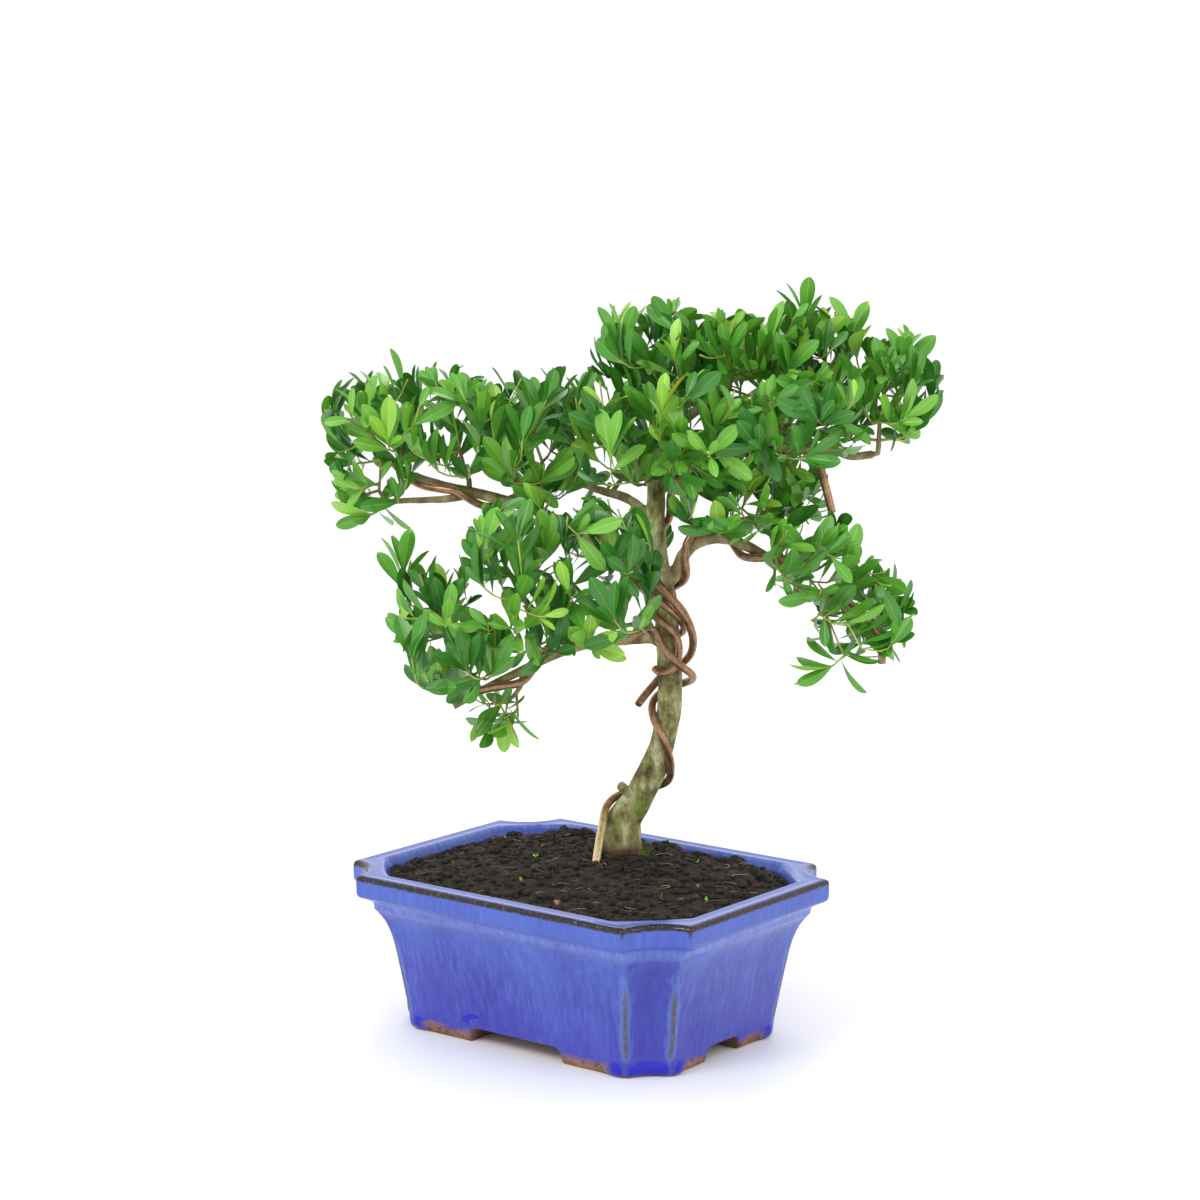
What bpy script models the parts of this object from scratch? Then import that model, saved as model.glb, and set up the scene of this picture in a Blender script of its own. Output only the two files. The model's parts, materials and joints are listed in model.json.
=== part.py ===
"""A Japanese holly (Ilex crenata) trained as a bonsai, in its glazed stoneware pot.

Metres, +Z up. The origin is the middle of the pot's footprint on the surface it stands on,
and +X runs along the pot's long side. The plant is described in a frame of its own, as
(across, back, up), which is turned about Z so that its front looks out between the pot's
long front side and its right end. Every limb, wire and mass of foliage is placed in that
frame and then turned.
"""
import math
import random

import bmesh
import bpy
import numpy as np
from mathutils import Matrix, Vector

# Clearance between solids that touch on the real plant
GAP = 0.0003

# Pot
POT_LENGTH = 0.210
POT_WIDTH = 0.160
POT_HEIGHT = 0.080
FOOT_HEIGHT = 0.007
FLOOR_TOP = 0.014
LIP_HEIGHT = 0.0125
RIM_WIDTH = 0.0105
NOTCH_AT_RIM = 0.0225
NOTCH_AT_WALL = 0.0183
NOTCH_AT_BASE = 0.0148
COVE_DEPTH = 0.0123
COVE_SHARPNESS = 11.0
BASE_INSET = 0.0233
WALL_THICKNESS = 0.0055
CHAMFER_AT_RIM = 0.027
CHAMFER_AT_FLOOR = 0.022
EDGE_EASE = 0.0012
# Share of the inner depth over which the inside closes from the rim to the wall
INNER_BLEND = 0.40
INNER_WALL_TOP = 0.0575
# Shares of the height to the lip at which the wall has a ring
WALL_SHARES = (0.09, 0.30, 0.62, 0.82, 0.93)
# Rings of the lip: inset, height above its foot, notch
LIP_RINGS = (
    (0.0045, -0.0005, 0.0205),
    (EDGE_EASE, 0.0012, NOTCH_AT_RIM),
    (0.0, 0.0040, NOTCH_AT_RIM),
    (0.0, LIP_HEIGHT - EDGE_EASE, NOTCH_AT_RIM),
    (EDGE_EASE, LIP_HEIGHT, NOTCH_AT_RIM),
)
CORNER_STEPS = 6
ARCH_LENGTH = 0.058
ARCH_WIDTH = 0.028
ARCH_ROUND = 0.004
DRAIN_RADIUS = 0.0065
DRAIN_SPACING = 0.076
CUTTER_REACH = 0.4
CUTTER_DEPTH = 0.05

# Soil, a low mound around the foot of the trunk
SOIL_EDGE = 0.0745
SOIL_TOP = 0.0822
SOIL_CAP_RADIUS = 0.017
SOIL_CORNER_STEPS = 4
SOIL_MOUND_SHARES = (0.25, 0.60, 1.0)
# Heights of the inner rings between the floor and the top, shared by pot and soil
INNER_HEIGHTS = (0.030, 0.052)

# The plant's own frame
PLANT_TURN = math.radians(37.95)
TRUNK_LINE = [
    (0.0165, 0.031, 0.0825, 0.0112),
    (0.0170, 0.030, 0.0900, 0.0098),
    (0.0180, 0.030, 0.0985, 0.0088),
    (0.0248, 0.029, 0.1090, 0.0072),
    (0.0316, 0.028, 0.1230, 0.0070),
    (0.0367, 0.026, 0.1370, 0.0060),
    (0.0398, 0.024, 0.1520, 0.0060),
    (0.0406, 0.022, 0.1650, 0.0061),
    (0.0402, 0.020, 0.1820, 0.0061),
    (0.0390, 0.018, 0.1960, 0.0060),
    (0.0380, 0.016, 0.2110, 0.0057),
    (0.0350, 0.015, 0.2260, 0.0056),
    (0.0335, 0.014, 0.2410, 0.0048),
    (0.0330, 0.013, 0.2590, 0.0045),
    (0.0335, 0.012, 0.2740, 0.0042),
    (0.0370, 0.012, 0.2870, 0.0037),
]
TRUNK_SIDES = 10
ROOT_RIDGES = 5
ROOT_RIDGE_DEPTH = 0.16
ROOT_FLARE_HEIGHT = 0.016
STUB_FOOT = (0.0245, 0.029, 0.1095)
STUB_TIP = (0.0160, 0.022, 0.1175)
STUB_RADIUS = 0.0028

# Boughs: what each grows from and how far along it, the points it bends through, its radius at each end
BOUGHS = {
    "bough_right_low_inner": (
        "trunk", 0.690, [(0.0435, 0.013, 0.2270), (0.047, 0.011, 0.2355), (0.053, 0.008, 0.2415),
                         (0.062, 0.004, 0.2445), (0.0695, 0.000, 0.2445)], 0.0034, 0.0027),
    "bough_right_low_outer": (
        "bough_right_low_inner", 1.0, [(0.078, -0.006, 0.2415), (0.087, -0.012, 0.2370),
                                       (0.094, -0.017, 0.2330), (0.099, -0.021, 0.2270),
                                       (0.105, -0.025, 0.2220), (0.118, -0.030, 0.2185),
                                       (0.130, -0.034, 0.2115)], 0.0026, 0.0015),
    "bough_left_low": (
        "trunk", 0.545, [(0.031, 0.013, 0.1945), (0.019, 0.005, 0.1945), (0.002, -0.005, 0.1945),
                         (-0.016, -0.015, 0.1905), (-0.034, -0.024, 0.1830), (-0.052, -0.033, 0.1755),
                         (-0.0640, -0.038, 0.1695)], 0.0032, 0.0017),
    "bough_left_high": (
        "trunk", 0.690, [(0.029, 0.017, 0.2265), (0.020, 0.020, 0.2320), (0.005, 0.027, 0.2395),
                         (-0.012, 0.034, 0.2470), (-0.026, 0.040, 0.2535), (-0.046, 0.046, 0.2590),
                         (-0.066, 0.051, 0.2630)], 0.0036, 0.0025),
    "bough_left_high_upper": (
        "bough_left_high", 1.0, [(-0.074, 0.054, 0.2650), (-0.084, 0.056, 0.2680),
                                 (-0.094, 0.058, 0.2715)], 0.0020, 0.0014),
    "bough_left_high_lower": (
        "bough_left_high", 0.93, [(-0.070, 0.044, 0.2590), (-0.083, 0.043, 0.2585),
                                  (-0.096, 0.042, 0.2580)], 0.0019, 0.0014),
    "bough_right_high": (
        "trunk", 0.930, [(0.0435, 0.009, 0.2850), (0.055, 0.005, 0.2905), (0.079, -0.004, 0.2920),
                         (0.102, -0.011, 0.2895), (0.117, -0.015, 0.2895), (0.126, -0.017, 0.2870),
                         (0.136, -0.018, 0.2880)], 0.0030, 0.0019),
    "bough_top": (
        "trunk", 1.0, [(0.040, 0.012, 0.2940), (0.046, 0.012, 0.3010), (0.055, 0.010, 0.3080),
                       (0.066, 0.008, 0.3150)], 0.0026, 0.0018),
    "bough_back_left": (
        "trunk", 0.830, [(0.020, 0.034, 0.2600), (0.006, 0.054, 0.2620),
                         (-0.006, 0.074, 0.2640)], 0.0026, 0.0017),
    "bough_back_right": (
        "trunk", 0.900, [(0.044, 0.022, 0.2730), (0.054, 0.032, 0.2780),
                         (0.068, 0.042, 0.2840)], 0.0024, 0.0017),
    "bough_back_low": (
        "trunk", 0.600, [(0.030, 0.036, 0.2150), (0.020, 0.052, 0.2250)], 0.0024, 0.0016),
}
BOUGH_STEP = 0.009
BOUGH_SIDES = 6

# Training wire. A route is a list of places: (limb, where, turn, stand-off), with where the height on
# the trunk or the share along a bough, and turn counted from the right side of the trunk, or from the
# horizontal side of a bough, in whole turns; or (None, point), a point of the plant's own frame.
WIRE_RADIUS = 0.0019
WIRE_STEP = 0.0050
WIRE_SIDES = 6
WIRE_SEAT = 0.0009
WIRE_EASING = 4
WIRE_ROUNDS = 24
WIRES = {
    "wire_left_low": [
        (None, (0.0038, 0.0000, 0.0834)), (None, (0.0050, 0.0110, 0.0890)), ("trunk", 0.0990, 0.540, 0.0002),
        ("trunk", 0.1110, 0.250, 0.0), ("trunk", 0.1220, 0.000, 0.0), ("trunk", 0.1430, -0.250, 0.0),
        ("trunk", 0.1575, -0.500, 0.0), ("trunk", 0.1640, -0.750, 0.0), ("trunk", 0.1710, -1.000, 0.0034),
        ("trunk", 0.1810, -1.180, 0.0056), ("trunk", 0.1910, -1.290, 0.0046), ("trunk", 0.2012, -1.400, 0.0),
        ("bough_left_low", 0.13, 0.42, 0.0004), ("bough_left_low", 0.29, 0.56, 0.0),
        ("bough_left_low", 0.42, 0.30, 0.0), ("bough_left_low", 0.56, 0.00, 0.0),
        ("bough_left_low", 0.66, -0.25, 0.0), ("bough_left_low", 0.80, -0.50, 0.0),
        ("bough_left_low", 0.97, -0.64, 0.0)],
    "wire_right_high": [
        ("trunk", 0.1600, 0.560, 0.0080), ("trunk", 0.1665, 0.450, 0.0), ("trunk", 0.1730, 0.250, 0.0),
        ("trunk", 0.1815, 0.020, 0.0015), ("trunk", 0.1910, -0.060, 0.0050),
        ("trunk", 0.2020, -0.110, 0.0062), ("trunk", 0.2130, -0.180, 0.0040),
        ("trunk", 0.2230, -0.280, 0.0006), ("trunk", 0.2370, -0.500, 0.0002),
        ("trunk", 0.2450, -0.750, 0.0), ("trunk", 0.2540, -1.000, 0.0), ("trunk", 0.2660, -1.090, 0.0),
        ("bough_right_high", 0.10, -0.20, 0.0), ("bough_right_high", 0.26, 0.20, 0.0),
        ("bough_right_high", 0.40, 0.60, 0.0), ("bough_right_high", 0.56, 1.00, 0.0),
        ("bough_right_high", 0.66, 1.20, 0.0), ("bough_right_high", 0.735, 1.50, 0.0),
        (None, (0.1110, -0.0145, 0.2820)), (None, (0.1140, -0.0170, 0.2720)),
        (None, (0.1170, -0.0180, 0.2600))],
    "wire_right_low": [
        ("trunk", 0.1790, -0.410, 0.0002), ("trunk", 0.1740, -0.320, 0.0004),
        ("trunk", 0.1785, -0.215, 0.0002), ("trunk", 0.1870, -0.135, 0.0002),
        ("trunk", 0.1955, -0.150, 0.0002), ("trunk", 0.2040, -0.280, 0.0),
        ("trunk", 0.2100, -0.500, 0.0), ("trunk", 0.2140, -0.750, 0.0), ("trunk", 0.2185, -0.980, 0.0002),
        ("bough_right_low_inner", 0.20, -0.14, 0.0), ("bough_right_low_inner", 0.45, 0.10, 0.0),
        ("bough_right_low_inner", 0.72, 0.34, 0.0), ("bough_right_low_inner", 0.98, 0.58, 0.0),
        ("bough_right_low_outer", 0.13, 0.84, 0.0), ("bough_right_low_outer", 0.30, 1.04, 0.0),
        ("bough_right_low_outer", 0.45, 1.40, 0.0), ("bough_right_low_outer", 0.58, 1.75, 0.0),
        ("bough_right_low_outer", 0.70, 2.04, 0.0), ("bough_right_low_outer", 0.84, 2.42, 0.0),
        (None, (0.1350, -0.0270, 0.2100)), (None, (0.1405, -0.0280, 0.2020)),
        (None, (0.1410, -0.0285, 0.1885))],
    "wire_left_high": [
        ("trunk", 0.1870, 0.300, 0.0), ("trunk", 0.1965, 0.000, 0.0), ("trunk", 0.2040, -0.120, 0.0002),
        ("trunk", 0.2130, -0.260, 0.0002), ("trunk", 0.2175, -0.400, 0.0010),
        ("bough_left_high", 0.11, 0.56, 0.0002), ("bough_left_high", 0.24, 0.30, 0.0),
        ("bough_left_high", 0.36, 0.00, 0.0), ("bough_left_high", 0.48, -0.30, 0.0),
        ("bough_left_high", 0.60, -0.60, 0.0), ("bough_left_high", 0.72, -0.90, 0.0),
        ("bough_left_high", 0.86, -1.30, 0.0), (None, (-0.0720, 0.0440, 0.2640)),
        (None, (-0.0830, 0.0490, 0.2640)), (None, (-0.0915, 0.0515, 0.2690)),
        (None, (-0.0950, 0.0530, 0.2745))],
}

# Foliage
LEAF_LENGTH = 0.033
LEAF_WIDTH = 0.0155
LEAF_KEEL = 0.0013
LEAF_ROOT = 0.0003
LEAF_BROADEST = 0.56
LEAF_KEEL_AT = 0.34
# Share of a twig, from its end, that can carry leaves
LEAFY_SHARE = 0.8
LEAF_SIZES = (1.04, 0.90, 0.78, 0.66)
LEAF_TURNS = (0.0, 0.5, -0.5, 1.0, -1.0)
LEAF_BACKS = (0.0008, 0.0026, 0.0050, 0.0078, 0.0108, 0.0142, 0.0180, 0.0220)
LEAF_TILT_AT_TIP = math.radians(28)
LEAF_TILT_BACK = math.radians(70)
LEAF_OPENING = 0.009
LEAF_RISE = 0.22
TWIG_SIDES = 3
STEM_RADIUS = 0.0016
STEM_LEAD = 0.0025
STEM_SHIFTS = (0.0, 0.03, -0.03, 0.06, -0.06, 0.10, -0.10, 0.15, -0.15)
STEM_BOW = 0.007
HUB_SHARE = 0.80
TWIG_RADIUS = 0.0011
TIP_RADIUS = 0.0009
TWIG_BOW_AT = 0.55
TWIG_PULLS = (1.0, 0.8, 0.6, 0.4)
# How much a twig's start counts its distance from the mass's foot, against the wood that it saves
FOOT_PULL = 0.35
END_TRIES = 200
END_REACH = 0.62
GOLDEN_TURN = math.radians(137.5)
LIMB_CLEARANCE = 0.0016
LEAF_CLEARANCE = 0.0020
LEAF_TESTED_FROM = 0.12
LEAF_FREE_FROM = 0.27
BOX_POWER = 3.2

# Masses: limb and place along it where the stem starts, middle, reach each way, twigs
MASSES = {
    "left_high_tip": ("bough_left_high_upper", 1.0, (-0.107, 0.060, 0.290), (0.030, 0.040, 0.038), 6),
    "left_high_under": ("bough_left_high_lower", 1.0, (-0.108, 0.041, 0.264), (0.027, 0.030, 0.021), 3),
    "left_high_mid": ("bough_left_high", 0.95, (-0.068, 0.050, 0.300), (0.032, 0.044, 0.037), 6),
    "left_high_inner": ("bough_left_high", 0.62, (-0.023, 0.040, 0.290), (0.033, 0.042, 0.043), 5),
    "left_low_tip": ("bough_left_low", 0.88, (-0.068, -0.038, 0.207), (0.034, 0.040, 0.044), 6),
    "left_low_hanging": ("bough_left_low", 0.70, (-0.044, -0.030, 0.166), (0.022, 0.026, 0.021), 2),
    "left_low_mid": ("bough_left_low", 0.60, (-0.032, -0.030, 0.227), (0.033, 0.042, 0.050), 6),
    "left_low_inner": ("bough_left_low", 0.28, (0.008, -0.034, 0.234), (0.031, 0.038, 0.047), 5),
    "centre_left": ("trunk", 0.93, (0.017, 0.000, 0.301), (0.031, 0.040, 0.040), 3),
    "top_left": ("trunk", 0.965, (0.032, 0.012, 0.336), (0.035, 0.042, 0.031), 5),
    "top_mid": ("bough_top", 1.0, (0.070, 0.008, 0.331), (0.034, 0.044, 0.034), 4),
    "top_right": ("bough_right_high", 0.66, (0.107, 0.000, 0.333), (0.031, 0.042, 0.040), 5),
    "right_high": ("bough_right_high", 1.0, (0.142, -0.016, 0.312), (0.033, 0.036, 0.036), 6),
    "right_high_inner": ("bough_right_high", 0.48, (0.106, -0.038, 0.304), (0.032, 0.034, 0.030), 4),
    "centre": ("bough_right_high", 0.18, (0.060, -0.030, 0.297), (0.035, 0.036, 0.036), 4),
    "centre_low": ("bough_right_low_inner", 0.88, (0.068, -0.018, 0.263), (0.031, 0.036, 0.027), 4),
    "centre_right": ("bough_right_high", 0.44, (0.098, 0.004, 0.270), (0.028, 0.034, 0.029), 4),
    "right_low_inner": ("bough_right_low_outer", 0.40, (0.103, -0.032, 0.240), (0.031, 0.036, 0.029), 4),
    "right_low_tip": ("bough_right_low_outer", 0.80, (0.129, -0.023, 0.205), (0.032, 0.034, 0.035), 5),
    "back_left": ("bough_back_left", 1.0, (-0.022, 0.084, 0.282), (0.038, 0.034, 0.038), 3),
    "back_mid": ("bough_back_left", 0.55, (0.028, 0.064, 0.286), (0.034, 0.032, 0.038), 3),
    "back_right": ("bough_back_right", 1.0, (0.076, 0.040, 0.304), (0.036, 0.030, 0.038), 4),
    "back_low": ("bough_back_low", 1.0, (0.012, 0.060, 0.238), (0.036, 0.034, 0.032), 4),
}


def clear_scene():
    for scene_object in list(bpy.data.objects):
        bpy.data.objects.remove(scene_object, do_unlink=True)


def collection(name):
    found = bpy.data.collections.new(name)
    bpy.context.scene.collection.children.link(found)
    return found


def material(name, colour, roughness, metallic=0.0):
    made = bpy.data.materials.new(name)
    made.use_nodes = True
    shader = made.node_tree.nodes["Principled BSDF"]
    shader.inputs["Base Color"].default_value = (*colour, 1.0)
    shader.inputs["Roughness"].default_value = roughness
    shader.inputs["Metallic"].default_value = metallic
    return made


def mesh_object(name, mesh, finish, home):
    made = bpy.data.objects.new(name, mesh)
    mesh.materials.clear()
    mesh.materials.append(finish)
    home.objects.link(made)
    return made


def placed(point):
    """A point of the plant's own frame, in the part's frame."""
    return Matrix.Rotation(PLANT_TURN, 3, "Z") @ Vector(point[:3])


def loft(rings):
    """A closed mesh through rings of points; a ring of one point is a tip."""
    shape = bmesh.new()
    levels = [[shape.verts.new(point) for point in ring] for ring in rings]
    for low, high in zip(levels, levels[1:]):
        count = max(len(low), len(high))
        for here in range(count):
            after = (here + 1) % count
            below = [low[here % len(low)], low[after % len(low)]]
            above = [high[after % len(high)], high[here % len(high)]]
            shape.faces.new(list(dict.fromkeys(below + above)))
    for cap in (levels[0], levels[-1]):
        if len(cap) > 2:
            shape.faces.new(cap)
    bmesh.ops.recalc_face_normals(shape, faces=shape.faces)
    mesh = bpy.data.meshes.new("loft")
    shape.to_mesh(mesh)
    shape.free()
    return mesh


def evaluated_mesh(source):
    """A new mesh of an object with its modifiers, or of a curve with its bevel."""
    graph = bpy.context.evaluated_depsgraph_get()
    graph.update()
    return bpy.data.meshes.new_from_object(source.evaluated_get(graph))


def boolean(target, operation, other=None, group=None, solver="EXACT"):
    """Cut or join one object, or a whole collection, and keep the result as the mesh."""
    modifier = target.modifiers.new("join", "BOOLEAN")
    modifier.operation = operation
    modifier.solver = solver
    if group:
        modifier.operand_type = "COLLECTION"
        modifier.collection = group
    else:
        modifier.object = other
    joined = evaluated_mesh(target)
    target.modifiers.remove(modifier)
    target.data = joined


# Pot and soil

def corner_arc(radius, steps):
    """Points of a quarter circle scooped out of a corner at (0, 0), from one side to the other."""
    turns = [math.pi / 2 * step / steps for step in range(steps + 1)]
    return [(-radius * math.cos(turn), -radius * math.sin(turn)) for turn in turns]


def corner_chamfer(leg, steps):
    """Points of a chamfer across the same corner, rounded where it meets the sides."""
    near = Vector((-leg, 0.0))
    far = Vector((0.0, -leg))
    bow = Vector((-leg, -leg)) * 0.42
    points = []
    for step in range(steps + 1):
        t = step / steps
        points.append(tuple(near * (1 - t) ** 2 + bow * 2 * t * (1 - t) + far * t ** 2))
    return points


def outline(half_length, half_width, corner):
    """A rectangle with one corner shape repeated at its four corners, anticlockwise."""
    points = []
    for sign_x, sign_y in ((1, -1), (1, 1), (-1, 1), (-1, -1)):
        placed_corner = [(sign_x * (half_length + dx), sign_y * (half_width + dy)) for dx, dy in corner]
        points += placed_corner if sign_x * sign_y < 0 else placed_corner[::-1]
    return points


def pot_ring(inset, height, notch):
    corner = corner_arc(notch, CORNER_STEPS)
    flat = outline(POT_LENGTH / 2 - inset, POT_WIDTH / 2 - inset, corner)
    return [(x, y, height) for x, y in flat]


def inner_ring(inset, height, chamfer, steps=CORNER_STEPS):
    corner = corner_chamfer(chamfer, steps)
    flat = outline(POT_LENGTH / 2 - inset, POT_WIDTH / 2 - inset, corner)
    return [(x, y, height) for x, y in flat]


def wall_inset(height):
    """How far the outer wall lies inside the rim's outline below the lip."""
    top = POT_HEIGHT - LIP_HEIGHT
    down = (top - height) / top
    cove = COVE_DEPTH * (1 - math.exp(-COVE_SHARPNESS * down))
    return cove + (BASE_INSET - COVE_DEPTH) * down


def inner_size(height):
    """Inset and chamfer of the inside of the pot at a height."""
    top = POT_HEIGHT - EDGE_EASE
    down = max(0.0, (top - height) / (top - FLOOR_TOP))
    wall = wall_inset(min(height, INNER_WALL_TOP)) + WALL_THICKNESS
    blend = min(1.0, down / INNER_BLEND)
    inset = RIM_WIDTH + (wall - RIM_WIDTH) * blend
    chamfer = CHAMFER_AT_RIM + (CHAMFER_AT_FLOOR - CHAMFER_AT_RIM) * down
    return inset, chamfer


def make_pot(home, cutters, finish):
    lip_foot = POT_HEIGHT - LIP_HEIGHT
    rings = [pot_ring(wall_inset(0.0), 0.0, NOTCH_AT_BASE)]
    for share in WALL_SHARES:
        height = lip_foot * share
        notch = NOTCH_AT_BASE + (NOTCH_AT_WALL - NOTCH_AT_BASE) * share
        rings.append(pot_ring(wall_inset(height), height, notch))
    for inset, up, notch in LIP_RINGS:
        rings.append(pot_ring(inset, lip_foot + up, notch))
    rings.append(inner_ring(RIM_WIDTH - EDGE_EASE, POT_HEIGHT, CHAMFER_AT_RIM))
    for height in (POT_HEIGHT - EDGE_EASE, *reversed(INNER_HEIGHTS), FLOOR_TOP):
        inset, chamfer = inner_size(height)
        rings.append(inner_ring(inset, height, chamfer))
    pot = mesh_object("pot", loft(rings), finish, home)
    for name, size_x, size_y in (("arch_x", CUTTER_REACH, ARCH_WIDTH), ("arch_y", ARCH_LENGTH, CUTTER_REACH)):
        bpy.ops.mesh.primitive_cube_add(size=1.0, location=(0.0, 0.0, 0.0))
        cutter = bpy.context.object
        cutter.name = name
        cutter.data.transform(Matrix.Diagonal((size_x, size_y, 2 * FOOT_HEIGHT, 1.0)))
        move_to(cutter, cutters)
        bevel = cutter.modifiers.new("round", "BEVEL")
        bevel.width = ARCH_ROUND
        bevel.segments = 2
        boolean(pot, "DIFFERENCE", cutter)
    for side in (-1, 1):
        bpy.ops.mesh.primitive_cylinder_add(vertices=12, radius=DRAIN_RADIUS, depth=CUTTER_DEPTH,
                                            location=(side * DRAIN_SPACING / 2, 0.0, FLOOR_TOP))
        cutter = bpy.context.object
        cutter.name = "drain"
        move_to(cutter, cutters)
        boolean(pot, "DIFFERENCE", cutter)
    return pot


def move_to(cutter, cutters):
    for owner in list(cutter.users_collection):
        owner.objects.unlink(cutter)
    cutters.objects.link(cutter)
    cutter.hide_render = True
    cutter.display_type = "WIRE"


def make_soil(home, finish):
    foot = placed(TRUNK_LINE[0])
    rings = []
    for height in (FLOOR_TOP + GAP, *INNER_HEIGHTS, SOIL_EDGE):
        inset, chamfer = inner_size(height)
        rings.append(inner_ring(inset + 2 * GAP, height, chamfer + GAP, SOIL_CORNER_STEPS))
    edge = rings[-1]
    for share in SOIL_MOUND_SHARES:
        ring = []
        for x, y, _ in edge:
            away = Vector((x - foot.x, y - foot.y))
            cap = away.normalized() * SOIL_CAP_RADIUS
            spot = away.lerp(cap, share)
            swell = math.sin(share * math.pi / 2)
            ring.append((foot.x + spot.x, foot.y + spot.y, SOIL_EDGE + (SOIL_TOP - SOIL_EDGE) * swell))
        rings.append(ring)
    return mesh_object("soil", loft(rings), finish, home)


# Trunk, boughs and wire

def smooth_line(points, step):
    """Points on a smooth curve through the given ones, evenly spaced, with every value blended."""
    keys = [np.array(point, float) for point in points]
    keys = [2 * keys[0] - keys[1]] + keys + [2 * keys[-1] - keys[-2]]
    fine = []
    for a, b, c, d in zip(keys, keys[1:], keys[2:], keys[3:]):
        for t in np.linspace(0.0, 1.0, 12, endpoint=False):
            fine.append(0.5 * (2 * b + (c - a) * t + (2 * a - 5 * b + 4 * c - d) * t ** 2
                               + (3 * b - a - 3 * c + d) * t ** 3))
    fine.append(keys[-2])
    fine = np.array(fine)
    run = np.concatenate([[0.0], np.cumsum(np.linalg.norm(np.diff(fine[:, :3], axis=0), axis=1))])
    count = max(2, int(round(run[-1] / step)) + 1)
    marks = np.linspace(0.0, run[-1], count)
    return np.stack([np.interp(marks, run, column) for column in fine.T], axis=1)


def tube(name, points, radii, finish, home, sides=8):
    """A closed tube, made from a curve with a round bevel and filled caps."""
    data = bpy.data.curves.new(name, "CURVE")
    data.dimensions = "3D"
    data.bevel_depth = 1.0
    data.bevel_resolution = (sides - 4) // 2
    data.use_fill_caps = True
    line = data.splines.new("POLY")
    line.points.add(len(points) - 1)
    for spot, point, radius in zip(line.points, points, radii):
        spot.co = (*placed(point), 1.0)
        spot.radius = radius
    curve = bpy.data.objects.new(name + "_curve", data)
    home.objects.link(curve)
    mesh = evaluated_mesh(curve)
    shape = bmesh.new()
    shape.from_mesh(mesh)
    bmesh.ops.remove_doubles(shape, verts=shape.verts, dist=0.00001)
    bmesh.ops.recalc_face_normals(shape, faces=shape.faces)
    shape.to_mesh(mesh)
    shape.free()
    made = mesh_object(name, mesh, finish, home)
    made.matrix_world = curve.matrix_world
    bpy.data.objects.remove(curve, do_unlink=True)
    return made


class Limb:
    """The line and radius of a trunk, bough or wire, kept for what grows from it."""

    def __init__(self, line, radii):
        self.line = np.array(line, float)[:, :3]
        self.radii = np.array(radii, float)
        steps = np.linalg.norm(np.diff(self.line, axis=0), axis=1)
        self.run = np.concatenate([[0.0], np.cumsum(steps)])

    def at(self, share):
        mark = share * self.run[-1]
        point = np.array([np.interp(mark, self.run, self.line[:, axis]) for axis in range(3)])
        return point, float(np.interp(mark, self.run, self.radii))

    def heading(self, share):
        ahead, _ = self.at(min(1.0, share + 0.03))
        behind, _ = self.at(max(0.0, share - 0.03))
        return (ahead - behind) / np.linalg.norm(ahead - behind)

    def at_height(self, height):
        return np.array([np.interp(height, self.line[:, 2], self.line[:, axis]) for axis in range(3)])

    def radius_at_height(self, height):
        return float(np.interp(height, self.line[:, 2], self.radii))


def nearest_on(points, limb):
    """For each point, the place on the limb's line whose surface is nearest, and the radius there."""
    points = np.atleast_2d(points)[:, None, :]
    starts = limb.line[:-1][None]
    spans = np.diff(limb.line, axis=0)[None]
    share = np.clip(((points - starts) * spans).sum(2) / (spans ** 2).sum(2), 0.0, 1.0)
    nearest = starts + share[..., None] * spans
    radius = limb.radii[:-1] + share * np.diff(limb.radii)
    best = (np.linalg.norm(points - nearest, axis=2) - radius).argmin(axis=1)
    rows = np.arange(len(best))
    return nearest[rows, best], radius[rows, best]


def clearance(points, limb):
    """The smallest distance from the points to the surface of a limb."""
    nearest, radius = nearest_on(points, limb)
    return float((np.linalg.norm(np.atleast_2d(points) - nearest, axis=1) - radius).min())


def make_trunk(home, finish, limbs):
    line = smooth_line(TRUNK_LINE, 0.0075)
    line[0][:2] = line[1][:2]
    line[0][2] = SOIL_TOP + GAP
    limb = Limb(line, line[:, 3])
    limbs["trunk"] = limb
    trunk = tube("trunk", limb.line, limb.radii, finish, home, TRUNK_SIDES)
    foot = placed(limb.line[0])
    for vertex in trunk.data.vertices:
        up = (vertex.co.z - foot.z) / ROOT_FLARE_HEIGHT
        if up > 1.0:
            continue
        away = Vector((vertex.co.x - foot.x, vertex.co.y - foot.y))
        turn = math.atan2(away.y, away.x)
        spread = 1 + ROOT_RIDGE_DEPTH * (1 - up) ** 2 * math.cos(ROOT_RIDGES * turn)
        vertex.co.x = foot.x + away.x * spread
        vertex.co.y = foot.y + away.y * spread
        if up < 0.1:
            vertex.co.z = foot.z
    limbs["stub"] = Limb([STUB_FOOT, STUB_TIP], [STUB_RADIUS, STUB_RADIUS * 0.8])
    stub = tube("stub", [STUB_FOOT, STUB_TIP], limbs["stub"].radii, finish, home, 6)
    boolean(trunk, "UNION", stub)
    bpy.data.objects.remove(stub, do_unlink=True)
    return trunk


def make_boughs(home, finish, limbs):
    for name, (parent, share, points, start_radius, end_radius) in BOUGHS.items():
        carrier = limbs[parent]
        anchor, _ = carrier.at(share)
        fine = smooth_line([anchor] + points, BOUGH_STEP / 16)
        for cut in range(len(fine)):
            line = smooth_line(fine[cut:], BOUGH_STEP)
            radii = np.linspace(start_radius, end_radius, len(line))
            if skin_gap(line, radii, carrier, limbs.values(), share == 1.0) >= GAP:
                break
        limbs[name] = Limb(line, radii)
        tube(name, line, radii, finish, home, BOUGH_SIDES)


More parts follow.
